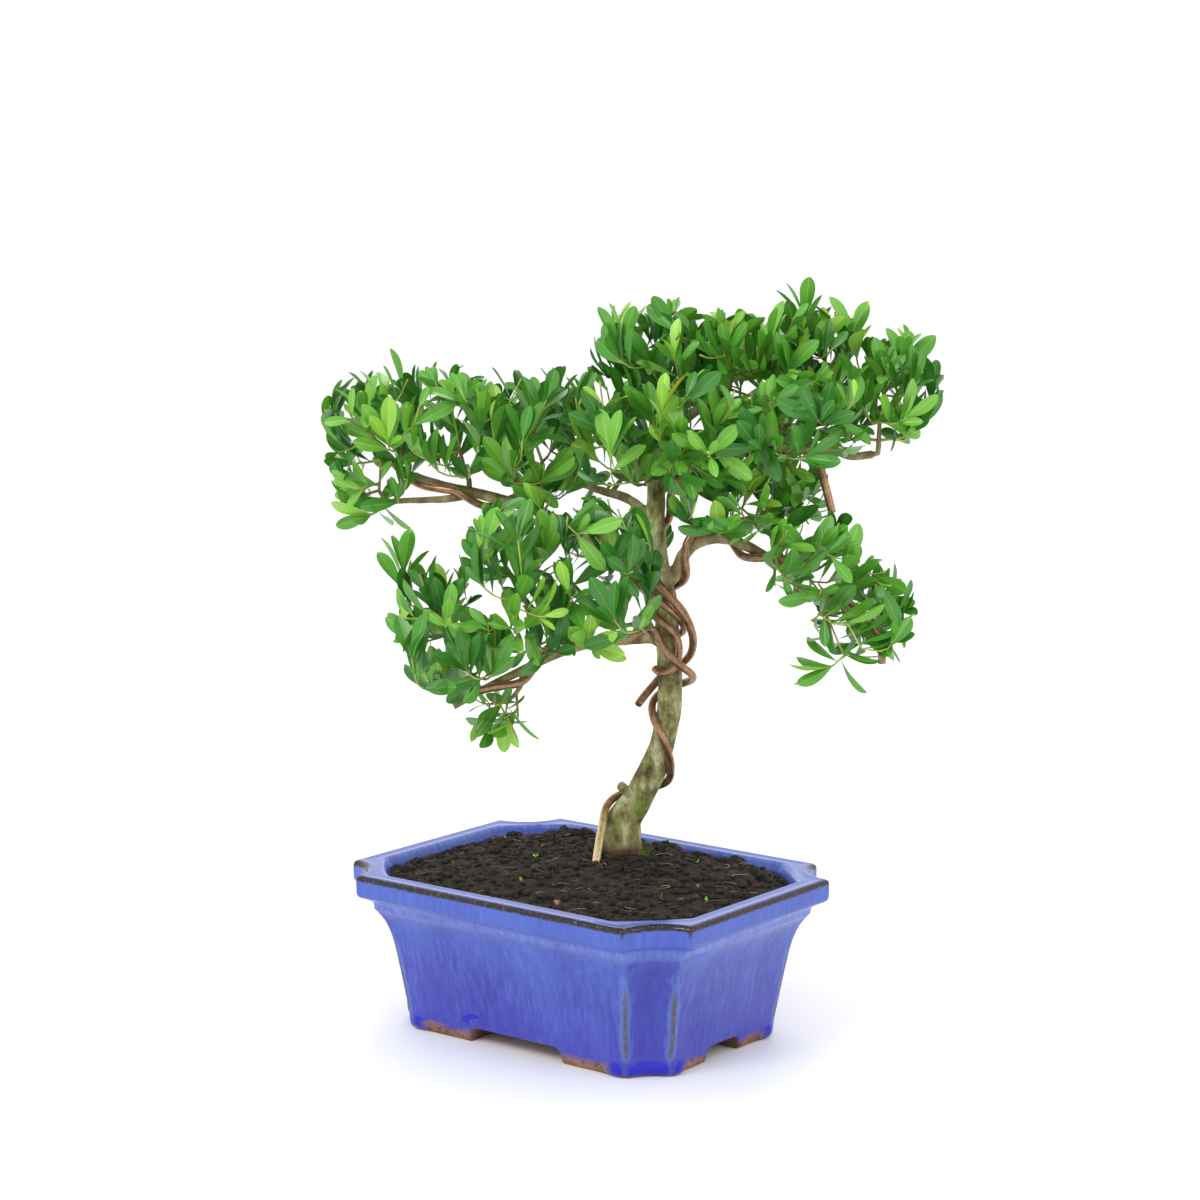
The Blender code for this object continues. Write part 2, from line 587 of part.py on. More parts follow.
def skin_gap(line, radii, carrier, limbs, from_tip):
    """The gap between a limb's skin near its start and every limb already there."""
    tip, _ = carrier.at(1.0)
    heading = carrier.heading(1.0)
    gaps = []
    for index in range(min(4, len(line) - 1)):
        along = heading_at(line, index)
        for share in (0.0, 0.25, 0.5, 0.75):
            spot = line[index] * (1 - share) + line[index + 1] * share
            ring = disc(spot, along, radii[index])
            for limb in limbs:
                past_tip = from_tip and limb is carrier
                gaps.append(min((ring - tip) @ heading) if past_tip else clearance(ring, limb))
    return min(gaps)


def heading_at(line, index):
    step = line[min(index + 1, len(line) - 1)] - line[max(index - 1, 0)]
    return step / np.linalg.norm(step)


def disc(middle, normal, radius):
    """The middle and rim of a round end face."""
    side = np.cross(normal, (0.0, 0.0, 1.0) if abs(normal[2]) < 0.9 else (1.0, 0.0, 0.0))
    side /= np.linalg.norm(side)
    other = np.cross(normal, side)
    turns = np.linspace(0.0, 2 * math.pi, 8, endpoint=False)
    rim = [middle + radius * (math.cos(turn) * side + math.sin(turn) * other) for turn in turns]
    return np.array([middle] + rim)


def wire_spot(limb, where, turn, standoff, upright):
    """A point beside a limb, on the wire's own line."""
    if upright:
        share = float(np.interp(where, limb.line[:, 2], limb.run / limb.run[-1]))
        away = np.array((math.cos(2 * math.pi * turn), math.sin(2 * math.pi * turn), 0.0))
    else:
        share = where
        side = np.cross(limb.heading(share), (0.0, 0.0, 1.0))
        side /= np.linalg.norm(side)
        above = np.cross(side, limb.heading(share))
        away = math.cos(2 * math.pi * turn) * side + math.sin(2 * math.pi * turn) * above
    middle, radius = limb.at(share)
    heading = limb.heading(share)
    away = away - heading * (away @ heading)
    away /= np.linalg.norm(away)
    return middle + away * (radius + WIRE_RADIUS + WIRE_SEAT + standoff)


def wire_line(route, limbs):
    """The wire's points: turns round one limb are filled in, and the whole is smoothed."""
    points = []
    for place, after in zip(route, route[1:] + [None]):
        if place[0] is None:
            points.append(np.array(place[1]))
            continue
        name, start = place[0], np.array(place[1:])
        points.append(wire_spot(limbs[name], *start, name == "trunk"))
        if after and after[0] == name:
            end = np.array(after[1:])
            count = int(abs(end[1] - start[1]) / 0.07)
            for step in range(1, count + 1):
                mixed = start + (end - start) * step / (count + 1)
                points.append(wire_spot(limbs[name], *mixed, name == "trunk"))
    return smooth_line(points, WIRE_STEP)


def pushed_clear(line, limbs):
    """The wire's line eased smooth and moved off every limb that it would touch."""
    line = line.copy()
    for turn in range(WIRE_ROUNDS):
        if turn < WIRE_EASING:
            line[1:-1] += 0.15 * (line[:-2] + line[2:] - 2 * line[1:-1])
        for limb in limbs:
            nearest, radius = nearest_on(line, limb)
            away = line - nearest
            distance = np.linalg.norm(away, axis=1)
            short = np.maximum(0.0, radius + WIRE_RADIUS + WIRE_SEAT - distance)
            line += away / distance[:, None] * short[:, None]
    return line


def make_wires(home, finish, limbs):
    for name, route in WIRES.items():
        line = pushed_clear(wire_line(route, limbs), list(limbs.values()))
        radii = np.full(len(line), WIRE_RADIUS)
        limbs[name] = Limb(line, radii)
        tube(name, line, radii, finish, home, WIRE_SIDES)


# Foliage

def reach_towards(direction, radii):
    """Distance from a rounded box's middle to its surface in a direction."""
    return float((np.abs(direction / np.array(radii)) ** BOX_POWER).sum() ** (-1 / BOX_POWER))


def spaces():
    """Each mass has a rounded box, cut by a plane between it and each neighbour."""
    found = {}
    for name, (_, _, middle, radii, _) in MASSES.items():
        middle = np.array(middle)
        planes = []
        for other, (_, _, far, far_radii, _) in MASSES.items():
            if other == name:
                continue
            away = np.array(far) - middle
            distance = np.linalg.norm(away)
            away = away / distance
            mine = reach_towards(away, radii)
            theirs = reach_towards(away, far_radii)
            planes.append((away, float(away @ middle) + distance * mine / (mine + theirs) - GAP))
        found[name] = (middle, np.array(radii), planes)
    return found


def inside(points, space):
    middle, radii, planes = space
    points = np.atleast_2d(points)
    if ((np.abs((points - middle) / radii) ** BOX_POWER).sum(1) > 1.0).any():
        return False
    return all((points @ normal <= limit).all() for normal, limit in planes)


def side_of(axis, reference):
    side = np.cross(axis, reference)
    if np.linalg.norm(side) < 1e-6:
        side = np.cross(axis, (1.0, 0.0, 0.0))
    return side / np.linalg.norm(side)


def twig_rings(line, radii):
    """Three-sided rings along a twig."""
    rings = []
    for index, (point, radius) in enumerate(zip(line, radii)):
        ahead = line[min(index + 1, len(line) - 1)]
        behind = line[max(index - 1, 0)]
        axis = (ahead - behind) / np.linalg.norm(ahead - behind)
        side = side_of(axis, np.array((0.13, 0.35, 1.0)))
        other = np.cross(axis, side)
        turns = [2 * math.pi * step / TWIG_SIDES for step in range(TWIG_SIDES)]
        rings.append([point + radius * (math.cos(turn) * side + math.sin(turn) * other) for turn in turns])
    return rings


def leaf_rings(root, along, face, length):
    """A keeled blade: its root is a point sunk in the twig, and it is widest past the middle."""
    side = np.cross(along, face)
    half = LEAF_WIDTH / 2 * length / LEAF_LENGTH
    broad = root + along * length * LEAF_BROADEST
    keel = root + along * length * LEAF_KEEL_AT - face * LEAF_KEEL
    middle = [broad + side * half, broad - side * half, keel]
    return [[root - along * LEAF_ROOT], middle, [root + along * length]]


def leaf_samples(root, along, face, length, start):
    """Points spread over a blade from a share of its length to its tip, to test what it touches."""
    side = np.cross(along, face)
    points = []
    for share in np.linspace(start, 1.0, 8):
        half = LEAF_WIDTH / 2 * min(share / LEAF_BROADEST, (1.0 - share) / (1.0 - LEAF_BROADEST))
        points += [root + along * length * share + side * half * across for across in (-1, -0.5, 0, 0.5, 1)]
    return np.array(points)


def spread_ends(space, start, count, rng):
    """Places for the ends of twigs, each as far as can be from the start and from the ones before."""
    middle, radii, _ = space
    free = []
    for _ in range(END_TRIES):
        offset = radii * np.array([rng.uniform(-1.0, 1.0) for _ in range(3)])
        if inside(middle + offset, space):
            free.append(middle + offset * END_REACH)
    chosen = [start]
    for _ in range(count):
        gaps = [min(np.linalg.norm(spot - other) for other in chosen) for spot in free]
        chosen.append(free[int(np.argmax(gaps))])
    return sorted(chosen[1:], key=lambda end: np.linalg.norm(end - start))


def bent(start, end, lift):
    """A twig's line: it leaves outward and turns up towards its end."""
    bow = start + (end - start) * TWIG_BOW_AT - np.array((0.0, 0.0, lift))
    return np.array([start, start * 0.25 + bow * 0.5 + end * 0.25, end])


def between(line, step):
    """A line's points with more filled in, so that none lie further apart than the step."""
    points = [line[0]]
    for start, end in zip(line, line[1:]):
        count = max(1, math.ceil(np.linalg.norm(end - start) / step))
        points += [start + (end - start) * index / count for index in range(1, count + 1)]
    return np.array(points)


def stem_room(line, carrier, limbs):
    """How far a stem stays from every limb, apart from where it leaves its own."""
    fine = between(line, 0.001)
    tip, _ = carrier.at(1.0)
    gaps = [clearance(fine, limb) for limb in limbs if limb is not carrier]
    if np.linalg.norm(line[0] - tip) > STEM_LEAD:
        clear_of_foot = fine[np.linalg.norm(fine - line[0], axis=1) > STEM_LEAD]
        gaps.append(clearance(clear_of_foot, carrier))
    return min(gaps) - STEM_RADIUS


def stem_of(name, limbs):
    """A mass's stem: it starts just clear of its limb, near its place, and passes every other limb."""
    limb_name, share, middle, _, _ = MASSES[name]
    middle = np.array(middle)
    carrier = limbs[limb_name]
    from_tip = share == 1.0
    best = None
    for shift in (0.0,) if from_tip else STEM_SHIFTS:
        place = min(0.99, share + shift) if not from_tip else 1.0
        foot, limb_radius = carrier.at(place)
        heading = carrier.heading(place)
        if from_tip:
            outward = heading
            limb_radius = 0.0
        else:
            outward = middle - foot
            outward -= heading * (outward @ heading)
            outward /= np.linalg.norm(outward)
        foot = foot + outward * (limb_radius + GAP + 0.0001)
        lead = foot + outward * STEM_LEAD
        hub = lead + (middle - lead) * HUB_SHARE
        side = side_of(middle - foot, np.array((0.0, 0.0, 1.0)))
        for bow in (0.0, 1.0, -1.0):
            halfway = lead * 0.5 + hub * 0.5 + side * bow * STEM_BOW
            line = np.array([foot, lead, halfway, hub])
            room = stem_room(line, carrier, limbs.values())
            if best is None or room > best[0]:
                best = (room, line)
            if room > GAP:
                return Limb(line, np.linspace(STEM_RADIUS, TWIG_RADIUS, len(line)))
    return Limb(best[1], np.linspace(STEM_RADIUS, TWIG_RADIUS, len(best[1])))


def nearest_twig(end, twigs, space):
    """The place on the twigs so far from which a new one reaches its end with the least wood."""
    foot = twigs[0][0][0]
    best = None
    for line, sizes in twigs:
        for index in range(1, len(line)):
            for part in (0.0, 0.5):
                spot = line[index] * (1 - part) + line[index - 1] * part
                cost = np.linalg.norm(end - spot) + FOOT_PULL * np.linalg.norm(spot - foot)
                if inside(spot, space) and (best is None or cost < best[0]):
                    best = (cost, spot, sizes[index])
    return best


def grow(name, stem, limbs, space, rng):
    """The twigs of one mass, each a line with radii, from its one stem."""
    count = MASSES[name][-1]
    hub = stem.line[-1]
    twigs = [(stem.line, stem.radii)]
    for reach in spread_ends(space, hub, count, rng):
        lift = rng.uniform(0.0, 0.003)
        for pull in TWIG_PULLS:
            end = hub + (reach - hub) * pull
            best = nearest_twig(end, twigs, space)
            if best is None:
                continue
            _, spot, size = best
            line = bent(spot, end, lift)
            sizes = np.linspace(min(size, TWIG_RADIUS) * 0.85, TIP_RADIUS, len(line))
            skin = np.array([point for ring in twig_rings(line, sizes) for point in ring])
            fine = between(line, 0.002)
            if inside(skin, space) and all(clearance(fine, limb) > LIMB_CLEARANCE for limb in limbs):
                twigs.append((line, sizes))
                break
    return twigs


def leaf_at(twig, back, turn, jitter):
    """Root, direction and face of a leaf that stands a distance back from a twig's end."""
    share = 1.0 - back / twig.run[-1]
    root, _ = twig.at(share)
    axis = twig.heading(share)
    side = side_of(axis, np.array((0.3, 0.1, 1.0)))
    other = np.cross(axis, side)
    tilt = LEAF_TILT_AT_TIP + (LEAF_TILT_BACK - LEAF_TILT_AT_TIP) * min(1.0, back / LEAF_OPENING) + jitter
    around = math.cos(turn) * side + math.sin(turn) * other
    along = axis * math.cos(tilt) + around * math.sin(tilt) + np.array((0.0, 0.0, LEAF_RISE))
    along /= np.linalg.norm(along)
    face = axis - along * (axis @ along)
    return root, along, face / np.linalg.norm(face)


def leaf_fits(leaf, space, limbs, taken):
    blade = np.array([point for ring in leaf_rings(*leaf) for point in ring])
    if not inside(blade, space):
        return False
    samples = leaf_samples(*leaf, LEAF_TESTED_FROM)
    if any(clearance(samples, limb) <= LIMB_CLEARANCE for limb in limbs):
        return False
    if not taken:
        return True
    outer = leaf_samples(*leaf, LEAF_FREE_FROM)
    others = np.concatenate(taken)
    return np.linalg.norm(outer[:, None] - others[None], axis=2).min() > LEAF_CLEARANCE


def leaves_on(line, sizes, rng, space, limbs, taken):
    """Leaves along the outer part of a twig, opening out round its tip."""
    found = []
    twig = Limb(line, sizes)
    turn = rng.uniform(0.0, 2 * math.pi)
    for back in LEAF_BACKS:
        turn += GOLDEN_TURN
        jitter = math.radians(rng.uniform(-7, 7))
        stretch = rng.uniform(0.96, 1.04)
        if back > LEAFY_SHARE * twig.run[-1]:
            continue
        for size, swing in [(size, swing) for size in LEAF_SIZES for swing in LEAF_TURNS]:
            leaf = (*leaf_at(twig, back, turn + swing, jitter), LEAF_LENGTH * size * stretch)
            if leaf_fits(leaf, space, limbs, taken):
                taken.append(leaf_samples(*leaf, LEAF_FREE_FROM))
                found.append(leaf)
                break
    return found


def turned(rings):
    return [[placed(point) for point in ring] for ring in rings]


def largest_body(mesh):
    """Keep the outer skin of the largest connected body; scraps and sealed hollows go."""
    shape = bmesh.new()
    shape.from_mesh(mesh)
    bmesh.ops.triangulate(shape, faces=shape.faces)
    left = set(shape.verts)
    bodies = []
    while left:
        seed = left.pop()
        body = {seed}
        edge = [seed]
        while edge:
            vertex = edge.pop()
            for link in vertex.link_edges:
                next_vertex = link.other_vert(vertex)
                if next_vertex in left:
                    left.discard(next_vertex)
                    body.add(next_vertex)
                    edge.append(next_vertex)
        bodies.append(body)
    bodies.sort(key=len, reverse=True)
    loose = [vertex for body in bodies[1:] for vertex in body]
    bmesh.ops.delete(shape, geom=loose, context="VERTS")
    shape.to_mesh(mesh)
    shape.free()


def make_mass(name, number, home, finish, stems, limbs, space):
    rng = random.Random(4100 + number)
    scraps = collection("twigs_and_leaves_" + name)
    others = list(limbs.values()) + [stem for owner, stem in stems.items() if owner != name]
    twigs = grow(name, stems[name], others, space, rng)
    taken = []
    line, sizes = twigs[0]
    mass = mesh_object("foliage_" + name, loft(turned(twig_rings(line, sizes))), finish, home)
    for line, sizes in twigs[1:]:
        mesh_object("twig", loft(turned(twig_rings(line, sizes))), finish, scraps)
        for leaf in leaves_on(line, sizes, rng, space, others, taken):
            mesh_object("leaf", loft(turned(leaf_rings(*leaf))), finish, scraps)
    boolean(mass, "UNION", group=scraps)
    for scrap in list(scraps.objects):
        bpy.data.objects.remove(scrap, do_unlink=True)
    bpy.data.collections.remove(scraps)
    largest_body(mass.data)
    mass.data.materials.clear()
    mass.data.materials.append(finish)
    return mass


def main():
    clear_scene()
    home = collection("potted_japanese_holly_bonsai")
    cutters = collection("cutters")
    glaze = material("blue_glaze", (0.075, 0.095, 0.60), 0.15)
    peat = material("peat", (0.030, 0.020, 0.014), 0.95)
    bark = material("bark", (0.22, 0.20, 0.11), 0.85)
    copper = material("wire", (0.32, 0.17, 0.08), 0.35, 1.0)
    leaf_green = material("leaf_green", (0.07, 0.24, 0.035), 0.35)
    make_pot(home, cutters, glaze)
    make_soil(home, peat)
    limbs = {}
    make_trunk(home, bark, limbs)
    make_boughs(home, bark, limbs)
    make_wires(home, copper, limbs)
    stems = {}
    for name in MASSES:
        stems[name] = stem_of(name, {**limbs, **stems})
    room = spaces()
    for number, name in enumerate(MASSES):
        make_mass(name, number, home, leaf_green, stems, limbs, room[name])


if __name__ == "__main__":
    main()
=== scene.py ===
"""The dressed view of a Japanese holly bonsai in its glazed pot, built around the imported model.

Metres, in the part's frame: +X along the pot's long side, +Z up. The plant has a frame of its own,
(across, back, up), turned about Z. Limbs and masses of foliage are worked out by the same rules as
the part's solids, the masses from slightly different places, and then carried on to finer twigs and
life-size leaves.
"""
import json
import math
import random

import bmesh
import bpy
import numpy as np
from mathutils import Matrix, Vector, noise
from mathutils.bvhtree import BVHTree

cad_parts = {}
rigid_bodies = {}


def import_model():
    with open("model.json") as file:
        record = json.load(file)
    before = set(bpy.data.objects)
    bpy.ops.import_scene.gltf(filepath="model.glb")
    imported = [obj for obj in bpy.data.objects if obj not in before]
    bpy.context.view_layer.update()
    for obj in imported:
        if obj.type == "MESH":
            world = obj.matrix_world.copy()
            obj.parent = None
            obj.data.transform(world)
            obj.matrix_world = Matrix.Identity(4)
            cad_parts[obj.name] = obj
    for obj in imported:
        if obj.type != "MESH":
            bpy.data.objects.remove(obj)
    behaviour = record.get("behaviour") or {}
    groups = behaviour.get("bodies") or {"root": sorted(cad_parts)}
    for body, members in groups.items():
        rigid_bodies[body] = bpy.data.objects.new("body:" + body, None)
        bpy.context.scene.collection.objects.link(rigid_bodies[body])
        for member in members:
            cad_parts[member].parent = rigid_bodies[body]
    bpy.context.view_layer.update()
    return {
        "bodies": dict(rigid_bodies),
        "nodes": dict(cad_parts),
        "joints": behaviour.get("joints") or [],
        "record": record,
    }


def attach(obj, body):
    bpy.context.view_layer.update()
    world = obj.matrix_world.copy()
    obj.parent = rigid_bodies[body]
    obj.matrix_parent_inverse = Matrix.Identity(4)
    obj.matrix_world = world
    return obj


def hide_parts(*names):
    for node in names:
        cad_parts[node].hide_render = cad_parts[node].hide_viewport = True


BODY = "root"

# Camera, in the plant's frame
PLANT_TURN = math.radians(37.95)
CAMERA_SPOT = (0.0058, -1.4448, 0.4412)
CAMERA_PITCH = math.radians(8.91)
CAMERA_LENS = 90.0
CAMERA_SENSOR = 36.0

# Pot
POT_LENGTH = 0.210
POT_WIDTH = 0.160
POT_HEIGHT = 0.080
FOOT_HEIGHT = 0.007
FLOOR_TOP = 0.014
LIP_HEIGHT = 0.0125
LIP_FOOT = POT_HEIGHT - LIP_HEIGHT
RIM_WIDTH = 0.0105
NOTCH_AT_RIM = 0.0225
NOTCH_AT_WALL = 0.0183
NOTCH_AT_BASE = 0.0148
COVE_DEPTH = 0.0123
COVE_SHARPNESS = 11.0
BASE_INSET = 0.0233
WALL_THICKNESS = 0.0055
CHAMFER_AT_RIM = 0.027
CHAMFER_AT_FLOOR = 0.022
ARCH_LENGTH = 0.058
ARCH_WIDTH = 0.028
ARCH_ROUND = 0.004
ARCH_ZONE = 0.018
CHANNEL_SHARES = (0.02, 0.25, 0.5, 0.75, 0.97)
FOOT_STEP = 0.006
SOLE_INSET = BASE_INSET + 0.0014
SOLE_ROUND = (BASE_INSET + 0.0004, 0.0006)
CORNER_STEPS = 16
CORNER_GRADES = (0.0005, 0.0011, 0.0019, 0.0031, 0.0055, 0.0095)
ARRIS_ROUNDS = 4
LONG_SIDE_PLACES = (0.045, 0.037, 0.033, 0.0305, 0.0295, 0.0290, 0.0285, 0.0275, 0.0260, 0.0235,
                    0.017, 0.0085)
SHORT_SIDE_PLACES = (0.022, 0.018, 0.0155, 0.0145, 0.0140, 0.0135, 0.0125, 0.0110, 0.0080, 0.004)
CHAMFER_BOW = 0.42
RIM_LEDGE = 0.001
INNER_WALL_TOP = LIP_FOOT - 0.010
INNER_BLEND = 0.40
WALL_TOP = 0.060
WALL_RINGS = (0.0016, 0.0615, 34)
NOTCH_BLEND = 0.0085
# The lip's curve, from the top of the cove to the rim's top face: inset and height
LIP_FROM = 0.0622
LIP_CURVE = [(0.0066, 0.0655), (0.0038, 0.0675), (0.0013, 0.0686), (0.0002, 0.0702), (0.0, 0.0735),
             (0.0, 0.0775), (0.0004, 0.0790), (0.0014, 0.0798), (0.0026, 0.0800)]
LIP_STEP = 0.0005
RIM_START = 0.0030
RIM_ROUND = 0.0016
RIM_DIP = 0.0004
RIM_SHARES = (0.08, 0.3, 0.6, 0.85, 1.0)
RIM_DROPS = (0.0004, 0.0012, 0.0026)
INNER_HEIGHTS = (0.0755, 0.073, 0.070, 0.062, 0.052, 0.040, 0.030, 0.020, FLOOR_TOP)
INNER_GLAZE_FROM = 0.065
FLOOR_SHARES = (0.8, 0.5, 0.2, 0.02)

# Glaze on the pot: drips at the foot of the corners, one drop low on the long wall, bare clay on the
# feet, a dark edge and dabs on the rim and worn arrises; a pale band under the lip is a painted highlight
DRIP_PLACE = 0.0058
DRIP_REACH = 0.0044
DRIP_HEIGHT = 0.0036
DRIP_SWELL = 0.0029
DROP_SPOT = (-0.0270, 0.0115)
DROP_SIZE = (0.0068, 0.0024)
CLAY_ON_ARCH = 0.0006
CLAY_AT_CORNER = 0.0008
CLAY_ON_SIDE = 0.0044
CLAY_FROM = 0.0088
CLAY_BLEND = 0.0035
CLAY_RAGGED = 0.0008
CLAY_PITCH = 90
CLAY_SOFTNESS = 0.0007
EDGE_SPOT = (0.0004, 0.0788)
EDGE_REACH = 0.0019
DAB_REACH = 0.0016
DAB_FROM = 0.0700
DAB_BLEND = 0.010
DAB_MOST = 0.7
# Painted highlight: a pale band under the lip, its height, reach and strength
HIGHLIGHT_BAND_HEIGHT = 0.0640
HIGHLIGHT_BAND_REACH = 0.0026
HIGHLIGHT_BAND_MOST = 0.50
ARRIS_REACH = 0.0030
ARRIS_FROM = 0.0065
ARRIS_BLEND = 0.004
ARRIS_FADE = 0.020

# Soil
SOIL_EDGE = 0.0745
SOIL_TOP = 0.0822
SOIL_CAP_RADIUS = 0.017
SOIL_CELL = 0.0012
SOIL_OVERLAP = 0.002
SOIL_TUCK = 0.0022
SOIL_LUMPS = ((75, 0.0011), (190, 0.0009), (480, 0.0006))
# The roughness is less near the trunk: its share there, and what is added further away
SOIL_CALM_REACH = 0.020
SOIL_CALM = (0.45, 0.55)
# Crumbs, fibres and moss: how many, their seed, and their sizes from least to most
SPOT_RANGE = (0.094, 0.069)
SPOT_MARGIN = 0.0015
SPOT_FROM_TRUNK = 0.013
CLODS = 1500
CLOD_SEED = 611
CLOD_LEAST = 0.0006
CLOD_SPREAD = 0.0021
CLOD_POWER = 2.6
CLOD_STRETCH = ((0.75, 1.35), (0.75, 1.35), (0.6, 1.0))
# Towards the back wall more of the crumbs are coarse
COARSE_FROM = 0.045
COARSE_SHARE = 0.35
COARSE_SIZE = 1.5
FIBRES = 190
FIBRE_SEED = 87
FIBRE_LENGTH = (0.003, 0.012)
FIBRE_RADIUS = (0.00010, 0.00022)
FIBRE_LIFT = 0.0007
FIBRE_ABOVE = 0.0011
PEBBLES = ((0.022, -0.052, 0.0013), (-0.045, 0.020, 0.0008), (0.060, 0.010, 0.0009))
STRAND_STEPS = 6
STRAND_SIDES = 3
STRAND_BEND = 2.2
MOSS_STRANDS = 340
MOSS_SEED = 29
MOSS_RING = (0.010, 0.021)
MOSS_LENGTH = (0.0008, 0.0022)
MOSS_RADIUS = 0.00022
MOSS_LIFT = 0.0012
SPROUTS = ((-0.030, -0.004), (0.078, -0.008), (-0.078, 0.030), (0.040, 0.036), (-0.010, -0.040))
SPROUT_ABOVE = 0.0012
SPROUT_LENGTH = (0.0022, 0.0040)
SPROUT_HALF_WIDTH = 0.26
# Peat: name, then its dark, middle and light colours
PEATS = (
    ("peat_surface", (0.006, 0.004, 0.003), (0.018, 0.011, 0.007), (0.050, 0.031, 0.019)),
    ("peat_dark", (0.004, 0.003, 0.002), (0.012, 0.008, 0.005), (0.035, 0.022, 0.014)),
    ("peat_brown", (0.012, 0.007, 0.004), (0.040, 0.024, 0.014), (0.090, 0.056, 0.034)),
)

# Trunk: points it passes through and its radius at each, in the plant's frame
TRUNK_LINE = [
    (0.0165, 0.031, 0.0825, 0.0112),
    (0.0170, 0.030, 0.0900, 0.0098),
    (0.0180, 0.030, 0.0985, 0.0088),
    (0.0248, 0.029, 0.1090, 0.0072),
    (0.0316, 0.028, 0.1230, 0.0070),
    (0.0367, 0.026, 0.1370, 0.0060),
    (0.0398, 0.024, 0.1520, 0.0060),
    (0.0406, 0.022, 0.1650, 0.0061),
    (0.0402, 0.020, 0.1820, 0.0061),
    (0.0390, 0.018, 0.1960, 0.0060),
    (0.0380, 0.016, 0.2110, 0.0057),
    (0.0350, 0.015, 0.2260, 0.0056),
    (0.0335, 0.014, 0.2410, 0.0048),
    (0.0330, 0.013, 0.2590, 0.0045),
    (0.0335, 0.012, 0.2740, 0.0042),
    (0.0370, 0.012, 0.2870, 0.0037),
]
ROOT_RIDGES = 5
ROOT_RIDGE_DEPTH = 0.16
ROOT_FLARE_HEIGHT = 0.016
STUB_LINE = [(0.0262, 0.0295, 0.1080), (0.0205, 0.0255, 0.1130), (0.0160, 0.0220, 0.1175)]
STUB_RADII = (0.0036, 0.0028, 0.0022)
SUNK = 0.004

# Boughs: what each grows from and how far along it, its radius at each end, the points it bends through
BOUGHS = {
    "bough_right_low_inner": ("trunk", 0.69, 0.0034, 0.0027, [
        (0.0435, 0.013, 0.227), (0.047, 0.011, 0.2355), (0.053, 0.008, 0.2415), (0.062, 0.004, 0.2445),
        (0.0695, 0.0, 0.2445)]),
    "bough_right_low_outer": ("bough_right_low_inner", 1.0, 0.0027, 0.0015, [
        (0.078, -0.006, 0.2415), (0.087, -0.012, 0.237), (0.094, -0.017, 0.233), (0.099, -0.021, 0.227),
        (0.105, -0.025, 0.222), (0.118, -0.03, 0.2185), (0.13, -0.034, 0.2115)]),
    "bough_left_low": ("trunk", 0.545, 0.0032, 0.0017, [
        (0.031, 0.013, 0.1945), (0.019, 0.005, 0.1945), (0.002, -0.005, 0.1945), (-0.016, -0.015, 0.1905),
        (-0.034, -0.024, 0.183), (-0.052, -0.033, 0.1755), (-0.064, -0.038, 0.1695)]),
    "bough_left_high": ("trunk", 0.69, 0.0036, 0.0025, [
        (0.029, 0.017, 0.2265), (0.02, 0.02, 0.232), (0.005, 0.027, 0.2395), (-0.012, 0.034, 0.247),
        (-0.026, 0.04, 0.2535), (-0.046, 0.046, 0.259), (-0.066, 0.051, 0.263)]),
    "bough_left_high_upper": ("bough_left_high", 1.0, 0.0024, 0.0014, [
        (-0.074, 0.054, 0.265), (-0.084, 0.056, 0.268), (-0.094, 0.058, 0.2715)]),
    "bough_left_high_lower": ("bough_left_high", 0.93, 0.0019, 0.0014, [
        (-0.07, 0.044, 0.259), (-0.083, 0.043, 0.2585), (-0.096, 0.042, 0.258)]),
    "bough_right_high": ("trunk", 0.93, 0.003, 0.0019, [
        (0.0435, 0.009, 0.285), (0.055, 0.005, 0.2905), (0.079, -0.004, 0.292), (0.102, -0.011, 0.2895),
        (0.117, -0.015, 0.2895), (0.126, -0.017, 0.287), (0.136, -0.018, 0.288)]),
    "bough_top": ("trunk", 1.0, 0.0035, 0.0018, [
        (0.04, 0.012, 0.294), (0.046, 0.012, 0.301), (0.055, 0.01, 0.308), (0.066, 0.008, 0.315)]),
    "bough_back_left": ("trunk", 0.83, 0.0026, 0.0017, [
        (0.02, 0.034, 0.26), (0.006, 0.054, 0.262), (-0.006, 0.074, 0.264)]),
    "bough_back_right": ("trunk", 0.9, 0.0024, 0.0017, [
        (0.044, 0.022, 0.273), (0.054, 0.032, 0.278), (0.068, 0.042, 0.284)]),
    "bough_back_low": ("trunk", 0.6, 0.0024, 0.0016, [(0.03, 0.036, 0.215), (0.02, 0.052, 0.225)]),
}
COLLAR_SHARE = 0.5
COLLAR_REACH = 0.0040
# Bark's relief: pitch and share of its depth
RELIEF_LUMPS = (95, 0.60)
RELIEF_RIDGES = (330, 0.42)
RELIEF_GRAIN = (800, 0.22)
MOSS_TOP = 0.115
MOSS_FADE = 0.012
EARTH_TOP = 0.0885
EARTH_FADE = 0.004

WIRES = ("wire_left_low", "wire_right_high", "wire_right_low", "wire_left_high")
WIRE_SIDES = 6
WIRE_SWELL = 0.00050
WIRE_CAP_RIM = 0.0002

